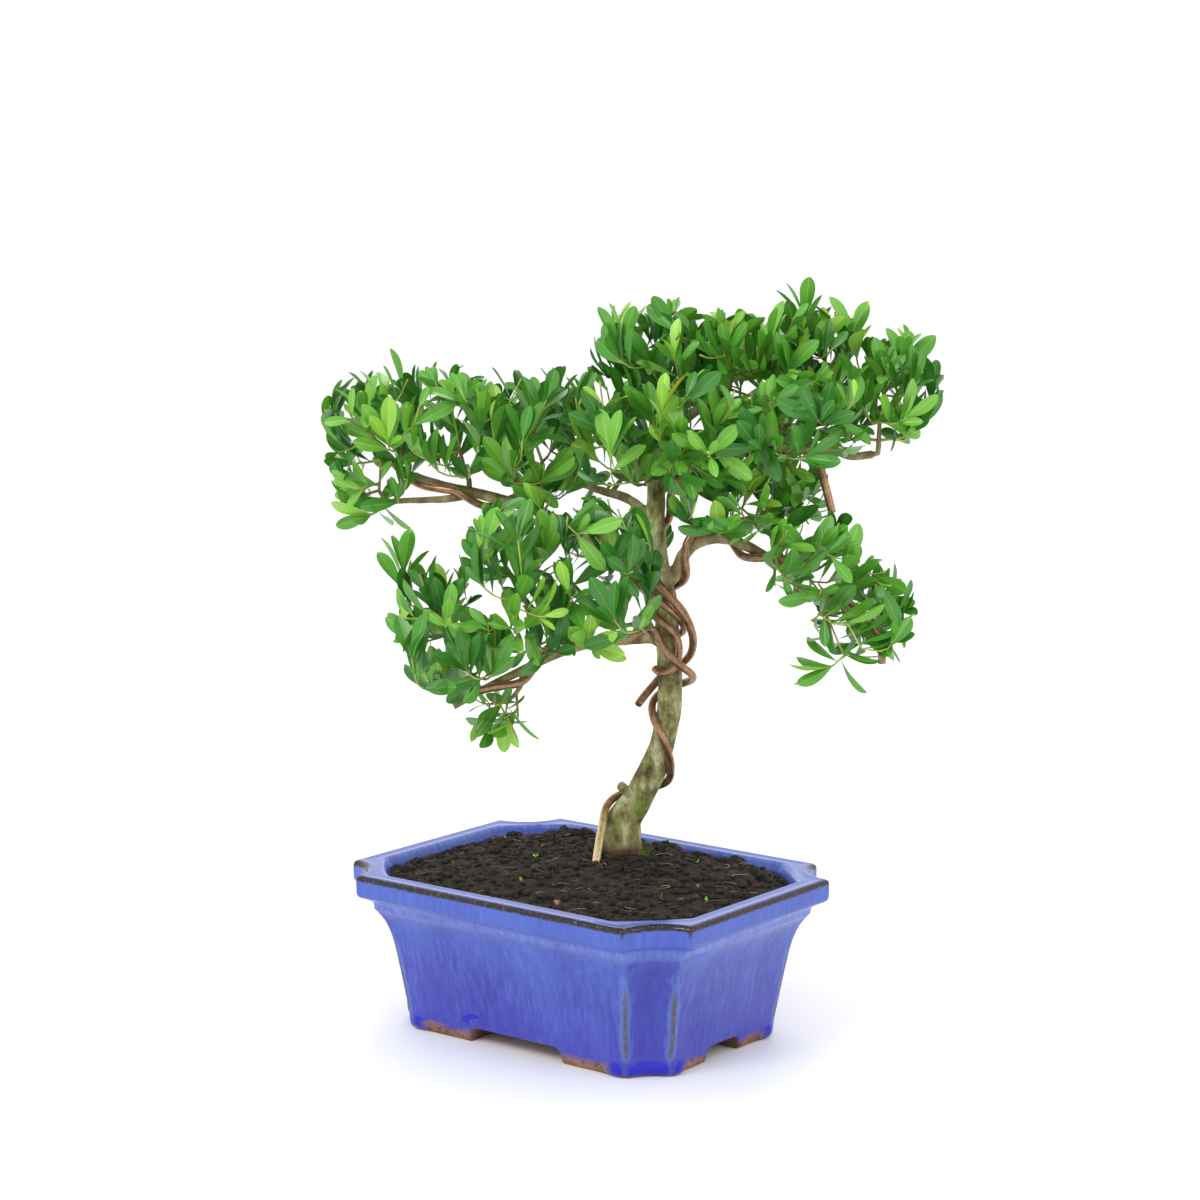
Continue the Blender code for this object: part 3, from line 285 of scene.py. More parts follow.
# Masses: limb and place along it where the stem starts, middle, reach each way, main twigs
MASSES = {
    "left_high_tip": ("bough_left_high_upper", 1.0, (-0.107, 0.060, 0.291), (0.030, 0.040, 0.034), 6),
    "left_high_under": ("bough_left_high_lower", 1.0, (-0.108, 0.041, 0.267), (0.024, 0.030, 0.016), 3),
    "left_high_mid": ("bough_left_high", 0.95, (-0.068, 0.050, 0.296), (0.032, 0.044, 0.032), 6),
    "left_high_inner": ("bough_left_high", 0.62, (-0.023, 0.040, 0.290), (0.033, 0.042, 0.038), 6),
    "left_low_tip": ("bough_left_low", 0.88, (-0.066, -0.038, 0.208), (0.032, 0.040, 0.039), 7),
    "left_low_hanging": ("bough_left_low", 0.70, (-0.043, -0.030, 0.165), (0.017, 0.022, 0.019), 2),
    "left_low_mid": ("bough_left_low", 0.60, (-0.032, -0.030, 0.227), (0.033, 0.042, 0.048), 7),
    "left_low_inner": ("bough_left_low", 0.28, (0.008, -0.034, 0.234), (0.031, 0.038, 0.045), 6),
    "centre_left": ("trunk", 0.93, (0.017, 0.000, 0.300), (0.031, 0.040, 0.036), 6),
    "top_left": ("trunk", 0.965, (0.034, 0.012, 0.331), (0.034, 0.042, 0.030), 6),
    "top_mid": ("bough_top", 1.0, (0.070, 0.008, 0.328), (0.034, 0.044, 0.030), 6),
    "top_right": ("bough_right_high", 0.66, (0.107, 0.000, 0.328), (0.032, 0.042, 0.036), 7),
    "right_high": ("bough_right_high", 1.0, (0.140, -0.016, 0.318), (0.031, 0.036, 0.032), 7),
    "right_high_inner": ("bough_right_high", 0.48, (0.106, -0.038, 0.308), (0.032, 0.034, 0.026), 5),
    "centre": ("bough_right_high", 0.18, (0.060, -0.030, 0.297), (0.035, 0.036, 0.036), 6),
    "centre_low": ("bough_right_low_inner", 0.88, (0.068, -0.018, 0.267), (0.031, 0.036, 0.024), 5),
    "centre_right": ("bough_right_high", 0.44, (0.096, 0.004, 0.270), (0.024, 0.034, 0.028), 4),
    "right_low_inner": ("bough_right_low_outer", 0.40, (0.106, -0.032, 0.242), (0.028, 0.034, 0.025), 5),
    "right_low_tip": ("bough_right_low_outer", 0.80, (0.130, -0.023, 0.213), (0.029, 0.034, 0.027), 6),
    "back_left": ("bough_back_left", 1.0, (-0.022, 0.084, 0.284), (0.036, 0.032, 0.034), 4),
    "back_mid": ("bough_back_left", 0.55, (0.028, 0.064, 0.290), (0.032, 0.030, 0.034), 4),
    "back_right": ("bough_back_right", 1.0, (0.076, 0.040, 0.306), (0.034, 0.030, 0.034), 4),
    "back_low": ("bough_back_low", 1.0, (0.012, 0.060, 0.240), (0.032, 0.030, 0.028), 3),
}
# Shoots that stand out of their mass, by the place of their tips
LEADERS = {
    "left_high_tip": [(-0.0895, 0.040, 0.3190)],
    "left_high_under": [(-0.1080, 0.035, 0.2520)],
    "left_high_mid": [(-0.0330, 0.030, 0.3200)],
    "left_low_tip": [(-0.0880, -0.036, 0.2340)],
    "top_left": [(0.0160, 0.000, 0.3410), (0.0420, 0.000, 0.3460)],
    "top_mid": [(0.0560, 0.000, 0.3450)],
    "top_right": [(0.1035, -0.004, 0.3520), (0.1260, -0.010, 0.3440)],
    "right_high": [(0.1520, -0.020, 0.3120), (0.1480, -0.016, 0.3300)],
    "left_low_hanging": [(-0.0400, -0.034, 0.1590)],
    "right_low_tip": [(0.1150, -0.030, 0.1860), (0.1440, -0.030, 0.2060)],
}
LEADER_REACH = 1.6
# Gaps that show sky: middle across and up, where back is 0, and half their width and height
SKY_GAPS = (
    (-0.0730, 0.2785, 0.0080, 0.0050),
    (-0.0585, 0.2860, 0.0040, 0.0035),
    (-0.1015, 0.2740, 0.0040, 0.0040),
    (-0.1000, 0.2910, 0.0035, 0.0025),
    (-0.0205, 0.2860, 0.0050, 0.0035),
    (-0.0070, 0.2635, 0.0035, 0.0070),
    (-0.0070, 0.2400, 0.0040, 0.0040),
    (-0.0040, 0.2270, 0.0030, 0.0060),
    (-0.0480, 0.2125, 0.0055, 0.0045),
    (-0.0570, 0.2200, 0.0030, 0.0030),
    (0.0068, 0.2825, 0.0055, 0.0035),
    (0.0080, 0.3170, 0.0040, 0.0060),
    (0.0154, 0.2645, 0.0050, 0.0090),
    (0.0255, 0.2675, 0.0030, 0.0050),
    (0.0310, 0.3430, 0.0030, 0.0025),
    (0.0232, 0.2115, 0.0035, 0.0035),
    (0.0510, 0.3035, 0.0025, 0.0055),
    (0.0540, 0.2585, 0.0040, 0.0035),
    (0.0735, 0.3185, 0.0060, 0.0034),
    (0.0780, 0.2620, 0.0040, 0.0045),
    (0.0835, 0.2430, 0.0045, 0.0030),
    (0.1045, 0.2825, 0.0040, 0.0030),
    (0.1080, 0.2510, 0.0035, 0.0030),
    (0.1135, 0.3340, 0.0050, 0.0025),
    (0.1160, 0.2260, 0.0045, 0.0045),
    (0.1220, 0.2010, 0.0030, 0.0025),
    (0.1300, 0.3315, 0.0025, 0.0022),
)
BOX_POWER = 2.7
FOLIAGE_SEED = 5200
SPRAYS_PER_TWIG = 3
END_TRIES = 420
END_REACH = 0.80
STEM_RADIUS = 0.0015
STEM_LEAD = 0.0025
STEM_SAG = 0.002
STEM_STEP = 0.003
HUB_SHARE = 0.62
TWIG_RADIUS = 0.0009
TIP_RADIUS = 0.00045
TWIG_SIDES = 6
TWIG_STEP = 0.004
TWIG_PULLS = (1.0, 0.85, 0.7, 0.5)
TWIG_BOW = (0.74, 0.74, 0.42)
TWIG_LIFT = (0.002, 0.006)
TWIG_SWAY = 0.003
TWIG_TAPER = 0.9
SHORTEST_TWIG = 0.006
# A twig branches beyond this share of its length, and way back to the foot counts this much
BRANCH_FROM = 0.35
BRANCH_WEIGHT = 0.35
GOLDEN_TURN = math.radians(137.5)

# Leaves
LEAF_LENGTH = 0.0212
LEAF_WIDTH = 0.0071
LEAF_SIZES = (1.06, 0.92, 0.76, 0.60)
LEAF_TURNS = (0.0, 0.5, -0.5, 1.0, -1.0)
LEAF_BACKS = (0.0004, 0.0012, 0.0024, 0.0040, 0.0060, 0.0084, 0.0114, 0.0152, 0.0200)
LEAF_TILT_AT_TIP = math.radians(26)
LEAF_TILT_BACK = math.radians(66)
LEAF_OPENING = 0.010
LEAF_RISE = 0.42
LEAF_CELL = 0.0018
LIMB_CLEARANCE = 0.0008
LEAF_FREE_FROM = 0.40
LEAF_JITTER = 11
LEAF_ROLL = 20
LEAF_STRETCH = (0.90, 1.08)
LEAF_ARCH = (0.02, 0.24)
LEAF_ARCH_FROM = 0.15
LEAF_CUP = 0.30
LEAF_INNER = 0.55
LEAFY_SHARE = 0.85
END_LEAF_BACK = 0.001
END_LEAF_SIZE = 0.82
# How much of its mass's reach a shoot's leaves may fill, and how far they may pass the next mass's plane
SPRAY_REACH = (0.82, 1.03)
PLANE_SLACK = 0.004
VEIN_HALF = 0.00021
LEAF_COLUMNS = 6
LEAF_ROWS = (0.00, 0.08, 0.18, 0.32, 0.46, 0.60, 0.72, 0.83, 0.91, 0.97, 1.00)
LEAF_SPREAD = (0.10, 0.13, 0.32, 0.60, 0.84, 0.98, 1.00, 0.88, 0.66, 0.36, 0.08)

# Leaf colours: name, blade, vein, share of the sprays. Yellow is for single leaves instead
TINTS = (
    ("deep", (0.030, 0.175, 0.012), (0.080, 0.270, 0.025), 0.20),
    ("dark", (0.054, 0.240, 0.018), (0.120, 0.350, 0.035), 0.27),
    ("mid", (0.090, 0.320, 0.026), (0.170, 0.440, 0.050), 0.27),
    ("bright", (0.145, 0.410, 0.036), (0.250, 0.540, 0.070), 0.19),
    ("yellow", (0.660, 0.640, 0.040), (0.720, 0.700, 0.100), 0.0),
    ("fresh", (0.260, 0.540, 0.050), (0.400, 0.660, 0.100), 0.07),
)
YELLOW_SHARE = 0.0015
FRESH = ("fresh", "bright")
FRESH_SHARE = 0.35
FRESH_BACK = 0.002

# Room, and its lights in the plant's frame: name, place, what it points at, its size, its power
FLOOR_HALF = 60.0
FLOOR_WHITE = (0.93, 0.93, 0.93)
SKY_POWER = 1.12
LIGHTS = (
    ("key", (-0.75, -0.85, 1.05), (0.0, 0.0, 0.16), (0.5, 0.5), 7.0),
    ("fill", (1.0, -0.7, 0.70), (0.0, 0.0, 0.16), (0.5, 0.5), 2.0),
    ("back", (0.1, 1.0, 1.20), (0.0, 0.0, 0.20), (0.8, 0.4), 3.5),
)


# Shared helpers

def turned(points):
    """Points of the plant's frame, in the part's frame."""
    cos, sin = math.cos(PLANT_TURN), math.sin(PLANT_TURN)
    across, back, up = np.atleast_2d(np.array(points, float))[:, :3].T
    return np.stack([across * cos - back * sin, across * sin + back * cos, up], 1)


def clamped(value):
    return min(1.0, max(0.0, value))


def bell(distance, reach):
    """One in the middle, falling off evenly to both sides."""
    return np.exp(-(distance / reach) ** 2)


def new_object(name, data):
    """An object in the scene."""
    made = bpy.data.objects.new(name, data)
    bpy.context.scene.collection.objects.link(made)
    return made


def paint(piece, name, colours):
    """A colour attribute with one colour for each point."""
    layer = piece.data.color_attributes.new(name, "FLOAT_COLOR", "POINT")
    layer.data.foreach_set("color", np.column_stack([colours, np.ones(len(colours))]).ravel())


def add_piece(name, points, faces, finishes, kinds=None, smooth=True):
    """A mesh object made of points and faces, riding on the body."""
    mesh = bpy.data.meshes.new(name)
    mesh.from_pydata([tuple(point) for point in np.asarray(points).tolist()], [], faces)
    mesh.update()
    for finish in finishes:
        mesh.materials.append(finish)
    if kinds is not None:
        mesh.polygons.foreach_set("material_index", kinds)
    mesh.polygons.foreach_set("use_smooth", [smooth] * len(mesh.polygons))
    piece = new_object(name, mesh)
    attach(piece, BODY)
    return piece


class Batch:
    """Points and faces gathered from many small forms for one mesh."""

    def __init__(self):
        self.points = []
        self.faces = []
        self.kinds = []
        self.count = 0

    def add(self, points, faces, kind=0):
        self.points.append(np.asarray(points, float))
        self.faces += [tuple(corner + self.count for corner in face) for face in faces]
        self.kinds += [kind] * len(faces) if isinstance(kind, int) else list(kind)
        self.count += len(points)

    def piece(self, name, finishes, slot, smooth=True):
        return add_piece(name, np.concatenate(self.points), self.faces, finishes, self.kinds, smooth)


def run_of(line):
    """How far along a line each of its points lies."""
    return np.concatenate([[0.0], np.cumsum(np.linalg.norm(np.diff(line, axis=0), axis=1))])


def smooth_line(points, step):
    """Points on a smooth curve through the given ones, evenly spaced, with every value blended."""
    keys = [np.array(point, float) for point in points]
    keys = [2 * keys[0] - keys[1]] + keys + [2 * keys[-1] - keys[-2]]
    fine = []
    for a, b, c, d in zip(keys, keys[1:], keys[2:], keys[3:]):
        for t in np.linspace(0.0, 1.0, 12, endpoint=False):
            fine.append(0.5 * (2 * b + (c - a) * t + (2 * a - 5 * b + 4 * c - d) * t ** 2
                               + (3 * b - a - 3 * c + d) * t ** 3))
    fine.append(keys[-2])
    fine = np.array(fine)
    run = run_of(fine[:, :3])
    count = max(2, int(round(run[-1] / step)) + 1)
    marks = np.linspace(0.0, run[-1], count)
    return np.array([[np.interp(mark, run, values) for values in fine.T] for mark in marks])


def headings(line):
    steps = np.gradient(line, axis=0)
    return steps / np.linalg.norm(steps, axis=1)[:, None]


def ring_frames(line):
    """Two cross directions at each point of a line, carried along it without twist."""
    axes = headings(line)
    side = np.cross(axes[0], (0.13, 0.35, 1.0))
    if np.linalg.norm(side) < 1e-6:
        side = np.cross(axes[0], (1.0, 0.0, 0.0))
    sides = []
    for axis in axes:
        side = side - axis * (side @ axis)
        side = side / np.linalg.norm(side)
        sides.append(side)
    sides = np.array(sides)
    return sides, np.cross(axes, sides)


def tube_faces(rings, sides):
    faces = []
    for ring in range(rings - 1):
        for here in range(sides):
            after = (here + 1) % sides
            low, high = ring * sides, (ring + 1) * sides
            faces.append((low + here, low + after, high + after, high + here))
    faces.append(tuple(range(sides))[::-1])
    faces.append(tuple((rings - 1) * sides + here for here in range(sides)))
    return faces


def tube_points(line, radii, sides, relief=None):
    """Rings round a line; relief gives extra radius from the turn, the run and the radius."""
    side, other = ring_frames(line)
    run = run_of(line)
    points = []
    for index, (middle, radius) in enumerate(zip(line, radii)):
        for step in range(sides):
            turn = 2 * math.pi * step / sides
            reach = radius + (relief(turn, run[index], radius) if relief else 0.0)
            points.append(middle + reach * (math.cos(turn) * side[index] + math.sin(turn) * other[index]))
    return np.array(points)


# Materials

def new_finish(name, colour, roughness, metallic=0.0):
    made = bpy.data.materials.new(name)
    made.use_nodes = True
    shader = made.node_tree.nodes["Principled BSDF"]
    shader.inputs["Base Color"].default_value = (*colour, 1.0)
    shader.inputs["Roughness"].default_value = roughness
    shader.inputs["Metallic"].default_value = metallic
    return made


class Tree:
    """A short way to write the nodes of one material."""

    def __init__(self, finish):
        self.tree = finish.node_tree
        self.shader = self.tree.nodes["Principled BSDF"]
        self.place = self.node("TexCoord").outputs["Object"]

    def node(self, kind, **inputs):
        """A new node with its inputs linked or set; an underscore stands for a space in their names."""
        made = self.tree.nodes.new("ShaderNode" + kind)
        for name, value in inputs.items():
            self.give(value, made.inputs[name.replace("_", " ")])
        return made

    def give(self, value, target):
        if isinstance(value, bpy.types.NodeSocket):
            self.tree.links.new(value, target)
        elif target.type == "RGBA":
            target.default_value = (*value, 1.0)
        else:
            target.default_value = value

    def stretched(self, x, y, z):
        return self.node("Mapping", Vector=self.place, Scale=(x, y, z)).outputs["Vector"]

    def noise(self, scale, detail, roughness, place=None):
        node = self.node("TexNoise", Vector=place or self.place, Scale=scale, Detail=detail,
                         Roughness=roughness)
        return node.outputs["Fac"]

    def ramp(self, factor, stops):
        """Colours along a factor; a colour of one value is a grey."""
        node = self.node("ValToRGB", Fac=factor)
        line = node.color_ramp
        while len(line.elements) < len(stops):
            line.elements.new(0.5)
        for element, (spot, colour) in zip(line.elements, stops):
            element.position = spot
            element.color = (*colour, 1.0) if len(colour) == 3 else (colour[0],) * 3 + (1.0,)
        return node.outputs["Color"]

    def mix(self, factor, first, second):
        node = self.node("Mix")
        node.data_type = "RGBA"
        for value, place in ((factor, 0), (first, 6), (second, 7)):
            self.give(value, node.inputs[place])
        return node.outputs[2]

    def math(self, operation, first, second):
        node = self.node("Math")
        node.operation = operation
        self.give(first, node.inputs[0])
        self.give(second, node.inputs[1])
        return node.outputs[0]

    def jittered(self, value, pattern, amount):
        """A value made ragged by a pattern that lies about one half."""
        return self.math("ADD", value, self.math("MULTIPLY", self.math("SUBTRACT", pattern, 0.5), amount))

    def span(self, value, low, high):
        """How far a value lies from low to high, from 0 to 1."""
        return self.node("MapRange", Value=value, From_Min=low, From_Max=high).outputs["Result"]

    def mark(self, name):
        """The three values of a colour attribute."""
        node = self.node("Attribute")
        node.attribute_name = name
        return self.node("SeparateColor", Color=node.outputs["Color"]).outputs[:3]

    def height(self):
        return self.node("SeparateXYZ", Vector=self.place).outputs["Z"]

    def bump(self, height, strength, distance, before=None):
        node = self.node("Bump", Height=height, Strength=strength, Distance=distance)
        if before:
            self.give(before, node.inputs["Normal"])
        self.give(node.outputs["Normal"], self.shader.inputs["Normal"])
        return node.outputs["Normal"]

    def colour(self, source):
        self.give(source, self.shader.inputs["Base Color"])

    def roughness(self, source):
        self.give(source, self.shader.inputs["Roughness"])


def glaze_finish():
    """Cobalt glaze in fine vertical streaks, thin and dark on the edges, with bare clay on the feet and
    painted highlights.
    """
    finish = new_finish("blue_glaze", (0.075, 0.095, 0.6), 0.14)
    tree = Tree(finish)
    # pale marks painted highlight: a band under the lip and a line along the rim's inner edge
    bare, thin, pale = tree.mark("glaze")
    arris, pool, flute = tree.mark("glaze_runs")
    streaks = tree.noise(1.0, 6.0, 0.62, tree.stretched(420.0, 420.0, 42.0))
    broad = tree.noise(1.0, 3.0, 0.5, tree.stretched(42.0, 42.0, 12.0))
    specks = tree.noise(760.0, 4.0, 0.65)
    blue = tree.ramp(streaks, [(0.30, (0.017, 0.021, 0.240)), (0.46, (0.036, 0.050, 0.340)),
                               (0.58, (0.055, 0.083, 0.440)), (0.76, (0.110, 0.170, 0.570))])
    cloud = tree.ramp(broad, [(0.30, (0.027, 0.027, 0.275)), (0.52, (0.050, 0.065, 0.375)),
                              (0.72, (0.078, 0.120, 0.480))])
    blue = tree.mix(0.45, blue, cloud)
    sky = tree.span(tree.jittered(tree.height(), broad, 0.022), 0.034, 0.062)
    blue = tree.mix(tree.math("MULTIPLY", sky, 0.38), blue, (0.070, 0.160, 0.560))
    violet = tree.span(tree.jittered(tree.height(), broad, 0.014), 0.032, 0.008)
    blue = tree.mix(tree.math("MULTIPLY", violet, 0.50), blue, (0.046, 0.040, 0.400))
    blue = tree.mix(tree.math("MULTIPLY", flute, 0.50), blue, (0.034, 0.030, 0.320))
    # Painted highlight: a paler blue where the pale mark lies, under the lip and on the rim's inner edge
    light = tree.ramp(streaks, [(0.30, (0.110, 0.160, 0.560)), (0.70, (0.260, 0.330, 0.740))])
    blue = tree.mix(pale, blue, light)
    halo = tree.ramp(tree.jittered(arris, streaks, 1.1), [(0.18, (0.0,)), (0.70, (0.62,))])
    blue = tree.mix(halo, blue, (0.110, 0.220, 0.580))
    ragged = tree.jittered(tree.jittered(arris, specks, 0.8), streaks, 1.2)
    worn = tree.ramp(ragged, [(0.58, (0.0,)), (0.92, (0.88,))])
    grey = tree.ramp(specks, [(0.36, (0.022, 0.020, 0.026)), (0.62, (0.130, 0.120, 0.130))])
    blue = tree.mix(worn, blue, grey)
    deep = tree.ramp(tree.jittered(pool, broad, 0.35), [(0.30, (0.0,)), (0.52, (0.95,))])
    blue = tree.mix(deep, blue, (0.008, 0.010, 0.440))
    edge = tree.ramp(tree.jittered(thin, streaks, 0.95), [(0.34, (0.0,)), (0.66, (1.0,))])
    umber = tree.ramp(specks, [(0.38, (0.006, 0.005, 0.007)), (0.60, (0.034, 0.022, 0.020)),
                               (0.74, (0.200, 0.200, 0.260))])
    blue = tree.mix(edge, blue, umber)
    mottle = tree.noise(95.0, 5.0, 0.65)
    clay = tree.ramp(mottle, [(0.30, (0.105, 0.055, 0.034)), (0.50, (0.250, 0.125, 0.076)),
                              (0.72, (0.360, 0.205, 0.130))])
    pits = tree.ramp(specks, [(0.36, (0.25,)), (0.48, (1.0,))])
    clay = tree.mix(pits, (0.035, 0.022, 0.017), clay)
    tree.colour(tree.mix(bare, blue, clay))
    tree.roughness(tree.ramp(bare, [(0.0, (0.13,)), (1.0, (0.78,))]))
    waves = tree.bump(broad, 0.25, 0.0016)
    tree.bump(specks, 0.05, 0.0006, waves)
    for name, value in (("Specular IOR Level", 0.36), ("Coat Weight", 0.10), ("Coat Roughness", 0.05)):
        tree.shader.inputs[name].default_value = value
    return finish


def peat_finish(name, low, mid, high):
    finish = new_finish(name, mid, 0.95)
    tree = Tree(finish)
    grain = tree.noise(380.0, 6.0, 0.7)
    tree.colour(tree.ramp(grain, [(0.32, low), (0.52, mid), (0.72, high)]))
    tree.bump(tree.noise(1300.0, 5.0, 0.7), 0.9, 0.0010)
    return finish


def bark_finish():
    """Grey-green bark in mottled patches, mossy and reddish near the soil."""
    finish = new_finish("bark", (0.2, 0.18, 0.1), 0.85)
    tree = Tree(finish)
    patches = tree.noise(120.0, 5.0, 0.62, tree.stretched(1.0, 1.0, 0.62))
    grain = tree.noise(900.0, 5.0, 0.65, tree.stretched(1.0, 1.0, 0.35))
    base = tree.ramp(patches, [(0.33, (0.045, 0.040, 0.012)), (0.42, (0.170, 0.155, 0.048)),
                               (0.52, (0.330, 0.325, 0.115)), (0.64, (0.640, 0.620, 0.370))])
    base = tree.mix(tree.ramp(grain, [(0.42, (0.0,)), (0.68, (0.55,))]), base, (0.085, 0.062, 0.030))
    young, moss, earth = tree.mark("bark")
    twig = tree.ramp(patches, [(0.35, (0.190, 0.130, 0.060)), (0.65, (0.360, 0.290, 0.140))])
    base = tree.mix(young, base, twig)
    green = tree.ramp(grain, [(0.35, (0.070, 0.120, 0.012)), (0.65, (0.260, 0.360, 0.040))])
    base = tree.mix(moss, base, green)
    red = tree.ramp(grain, [(0.35, (0.045, 0.020, 0.012)), (0.65, (0.150, 0.070, 0.040))])
    tree.colour(tree.mix(earth, base, red))
    rough = tree.bump(patches, 0.5, 0.0012)
    tree.bump(grain, 0.55, 0.0006, rough)
    return finish


def wire_finish():
    """Copper-brown anodised wire, worn to pale tan where it leaves the soil."""
    finish = new_finish("wire", (0.32, 0.17, 0.08), 0.34, 0.75)
    tree = Tree(finish)
    wear = tree.noise(260.0, 5.0, 0.65)
    specks = tree.noise(900.0, 4.0, 0.7)
    brown = tree.ramp(wear, [(0.30, (0.190, 0.100, 0.052)), (0.52, (0.350, 0.200, 0.110)),
                             (0.74, (0.540, 0.340, 0.200))])
    tan = tree.ramp(specks, [(0.34, (0.340, 0.230, 0.100)), (0.48, (0.760, 0.580, 0.300)),
                             (0.70, (0.900, 0.760, 0.480))])
    low = tree.span(tree.height(), 0.106, 0.098)
    tree.colour(tree.mix(low, brown, tan))
    tree.roughness(tree.ramp(wear, [(0.35, (0.30,)), (0.70, (0.46,))]))
    tree.bump(specks, 0.12, 0.0004)
    return finish


# Pot

def wall_inset(height):
    """How far the outer wall lies inside the rim's outline below the lip."""
    down = (LIP_FOOT - height) / LIP_FOOT
    cove = COVE_DEPTH * (1 - math.exp(-COVE_SHARPNESS * down))
    return cove + (BASE_INSET - COVE_DEPTH) * down


def inner_size(height):
    """Inset and chamfer of the inside of the pot at a height."""
    top = POT_HEIGHT - RIM_LEDGE
    down = max(0.0, (top - height) / (top - FLOOR_TOP))
    wall = wall_inset(min(height, INNER_WALL_TOP)) + WALL_THICKNESS
    inset = RIM_WIDTH + (wall - RIM_WIDTH) * min(1.0, down / INNER_BLEND)
    return inset, CHAMFER_AT_RIM + (CHAMFER_AT_FLOOR - CHAMFER_AT_RIM) * down


def corner_path(curve, reach):
    """A corner's shape with graded points on the sides before and after it."""
    before = [(-reach - grade, 0.0) for grade in reversed(CORNER_GRADES)]
    after = [(0.0, -reach - grade) for grade in CORNER_GRADES]
    return before + curve + after


def scooped(notch):
    shares = [(1 - math.cos(math.pi * step / CORNER_STEPS)) / 2 for step in range(CORNER_STEPS + 1)]
    turns = [math.pi / 2 * share for share in shares]
    return corner_path([(-notch * math.cos(turn), -notch * math.sin(turn)) for turn in turns], notch)


def chamfered(leg):
    near, far, bow = np.array((-leg, 0.0)), np.array((0.0, -leg)), np.array((-leg, -leg)) * CHAMFER_BOW
    points = []
    for step in range(CORNER_STEPS + 1):
        t = step / CORNER_STEPS
        points.append(tuple(near * (1 - t) ** 2 + bow * 2 * t * (1 - t) + far * t ** 2))
    return corner_path(points, leg)


def outline(inset, corner):
    """The pot's outline, anticlockwise, with one corner shape repeated and the arrises eased."""
    half_length, half_width = POT_LENGTH / 2 - inset, POT_WIDTH / 2 - inset
    sides = (SHORT_SIDE_PLACES, LONG_SIDE_PLACES, SHORT_SIDE_PLACES, LONG_SIDE_PLACES)
    points = []
    for (sign_x, sign_y), places in zip(((1, -1), (1, 1), (-1, 1), (-1, -1)), sides):
        spots = [(sign_x * (half_length + dx), sign_y * (half_width + dy)) for dx, dy in corner]
        points += spots if sign_x * sign_y < 0 else spots[::-1]
        marks = [*(-place for place in places), 0.0, *reversed(places)]
        if places is SHORT_SIDE_PLACES:
            points += [(sign_x * half_length, sign_x * mark) for mark in marks]
        else:
            points += [(-sign_y * mark, sign_y * half_width) for mark in marks]
    points = np.array(points)
    for _ in range(ARRIS_ROUNDS):
        points = 0.5 * points + 0.25 * (np.roll(points, 1, axis=0) + np.roll(points, -1, axis=0))
    return points


def arch_height(flat):
    """How high the foot arches rise at points of the outline."""
    heights = np.zeros(len(flat))
    half_length = np.abs(flat[:, 0]).max()
    half_width = np.abs(flat[:, 1]).max()
    for index, (x, y) in enumerate(flat):
        for along, half, across, limit in ((abs(x), ARCH_LENGTH / 2, abs(y), half_width),
                                           (abs(y), ARCH_WIDTH / 2, abs(x), half_length)):
            if across > limit - 0.001 and along < half:
                past = max(0.0, (along - (half - ARCH_ROUND)) / ARCH_ROUND)
                heights[index] = FOOT_HEIGHT * math.sqrt(max(0.0, 1 - past ** 2))
    return heights


def pot_profile():
    """Inset and height of the outer rings, from the foot to the rim."""
    rings = [(SOLE_INSET, 0.0), SOLE_ROUND]
    rings += [(wall_inset(height), height) for height in np.linspace(*WALL_RINGS)]
    lip = smooth_line([(wall_inset(LIP_FROM), LIP_FROM), *LIP_CURVE], LIP_STEP)
    return rings + lip.tolist()


def corner_marks(flat):
    """For each point of a ring, how far the nearest arris is and its place across a flute, -1 outside one."""
    gaps = np.full(len(flat), 1.0)
    across = np.full(len(flat), -1.0)
    start = 0
    for places in (SHORT_SIDE_PLACES, LONG_SIDE_PLACES) * 2:
        first = start + len(CORNER_GRADES)
        last = first + CORNER_STEPS
        for place in (first, last):
            gaps = np.minimum(gaps, np.linalg.norm(flat - flat[place], axis=1))
        across[first:last + 1] = np.linspace(0.0, 1.0, CORNER_STEPS + 1)
        start = last + len(CORNER_GRADES) + 1 + 2 * len(places) + 1
    return gaps, across


def drips(gaps, across):
    """How full the glaze has run at the foot: one drop in each flute and one beside each arris."""
    beside = np.clip(1 - ((gaps - DRIP_PLACE) / DRIP_REACH) ** 2, 0.0, 1.0)
    return np.where(across >= 0.0, np.sin(math.pi * np.clip(across, 0.0, 1.0)), beside)


class Rings:
    """The pot's rings from the middle of its underside over the rim to its inner floor, and their marks."""

    def __init__(self, count):
        self.count = count
        self.points = []
        self.marks = []

    def add(self, flat, heights, bare=0.0, thin=0.0, pale=0.0, arris=0.0, pool=0.0, flute=0.0):
        marks = (bare, thin, pale, arris, pool, flute)
        self.points.append(np.column_stack([flat, np.broadcast_to(heights, self.count)]))
        self.marks.append(np.column_stack([np.broadcast_to(mark, self.count) for mark in marks]))


def add_underside(rings, base, arch):
    """Feet at the corners, with channels between them."""
    with np.errstate(divide="ignore"):
        cross = np.maximum(ARCH_LENGTH / 2 / np.abs(base[:, 0]), ARCH_WIDTH / 2 / np.abs(base[:, 1]))
    cross = np.where(arch > 0.0, 1.0, np.minimum(cross, 0.999))[:, None]
    for share in CHANNEL_SHARES:
        rings.add(base * cross * share, FOOT_HEIGHT, bare=1.0)
    step = np.minimum(cross + FOOT_STEP, 1.0)
    heights = np.where(arch > 0.0, FOOT_HEIGHT, 0.0)
    rings.add(base * step, heights, bare=1.0)
    rings.add(base * (step * 0.5 + 0.5), heights, bare=1.0)


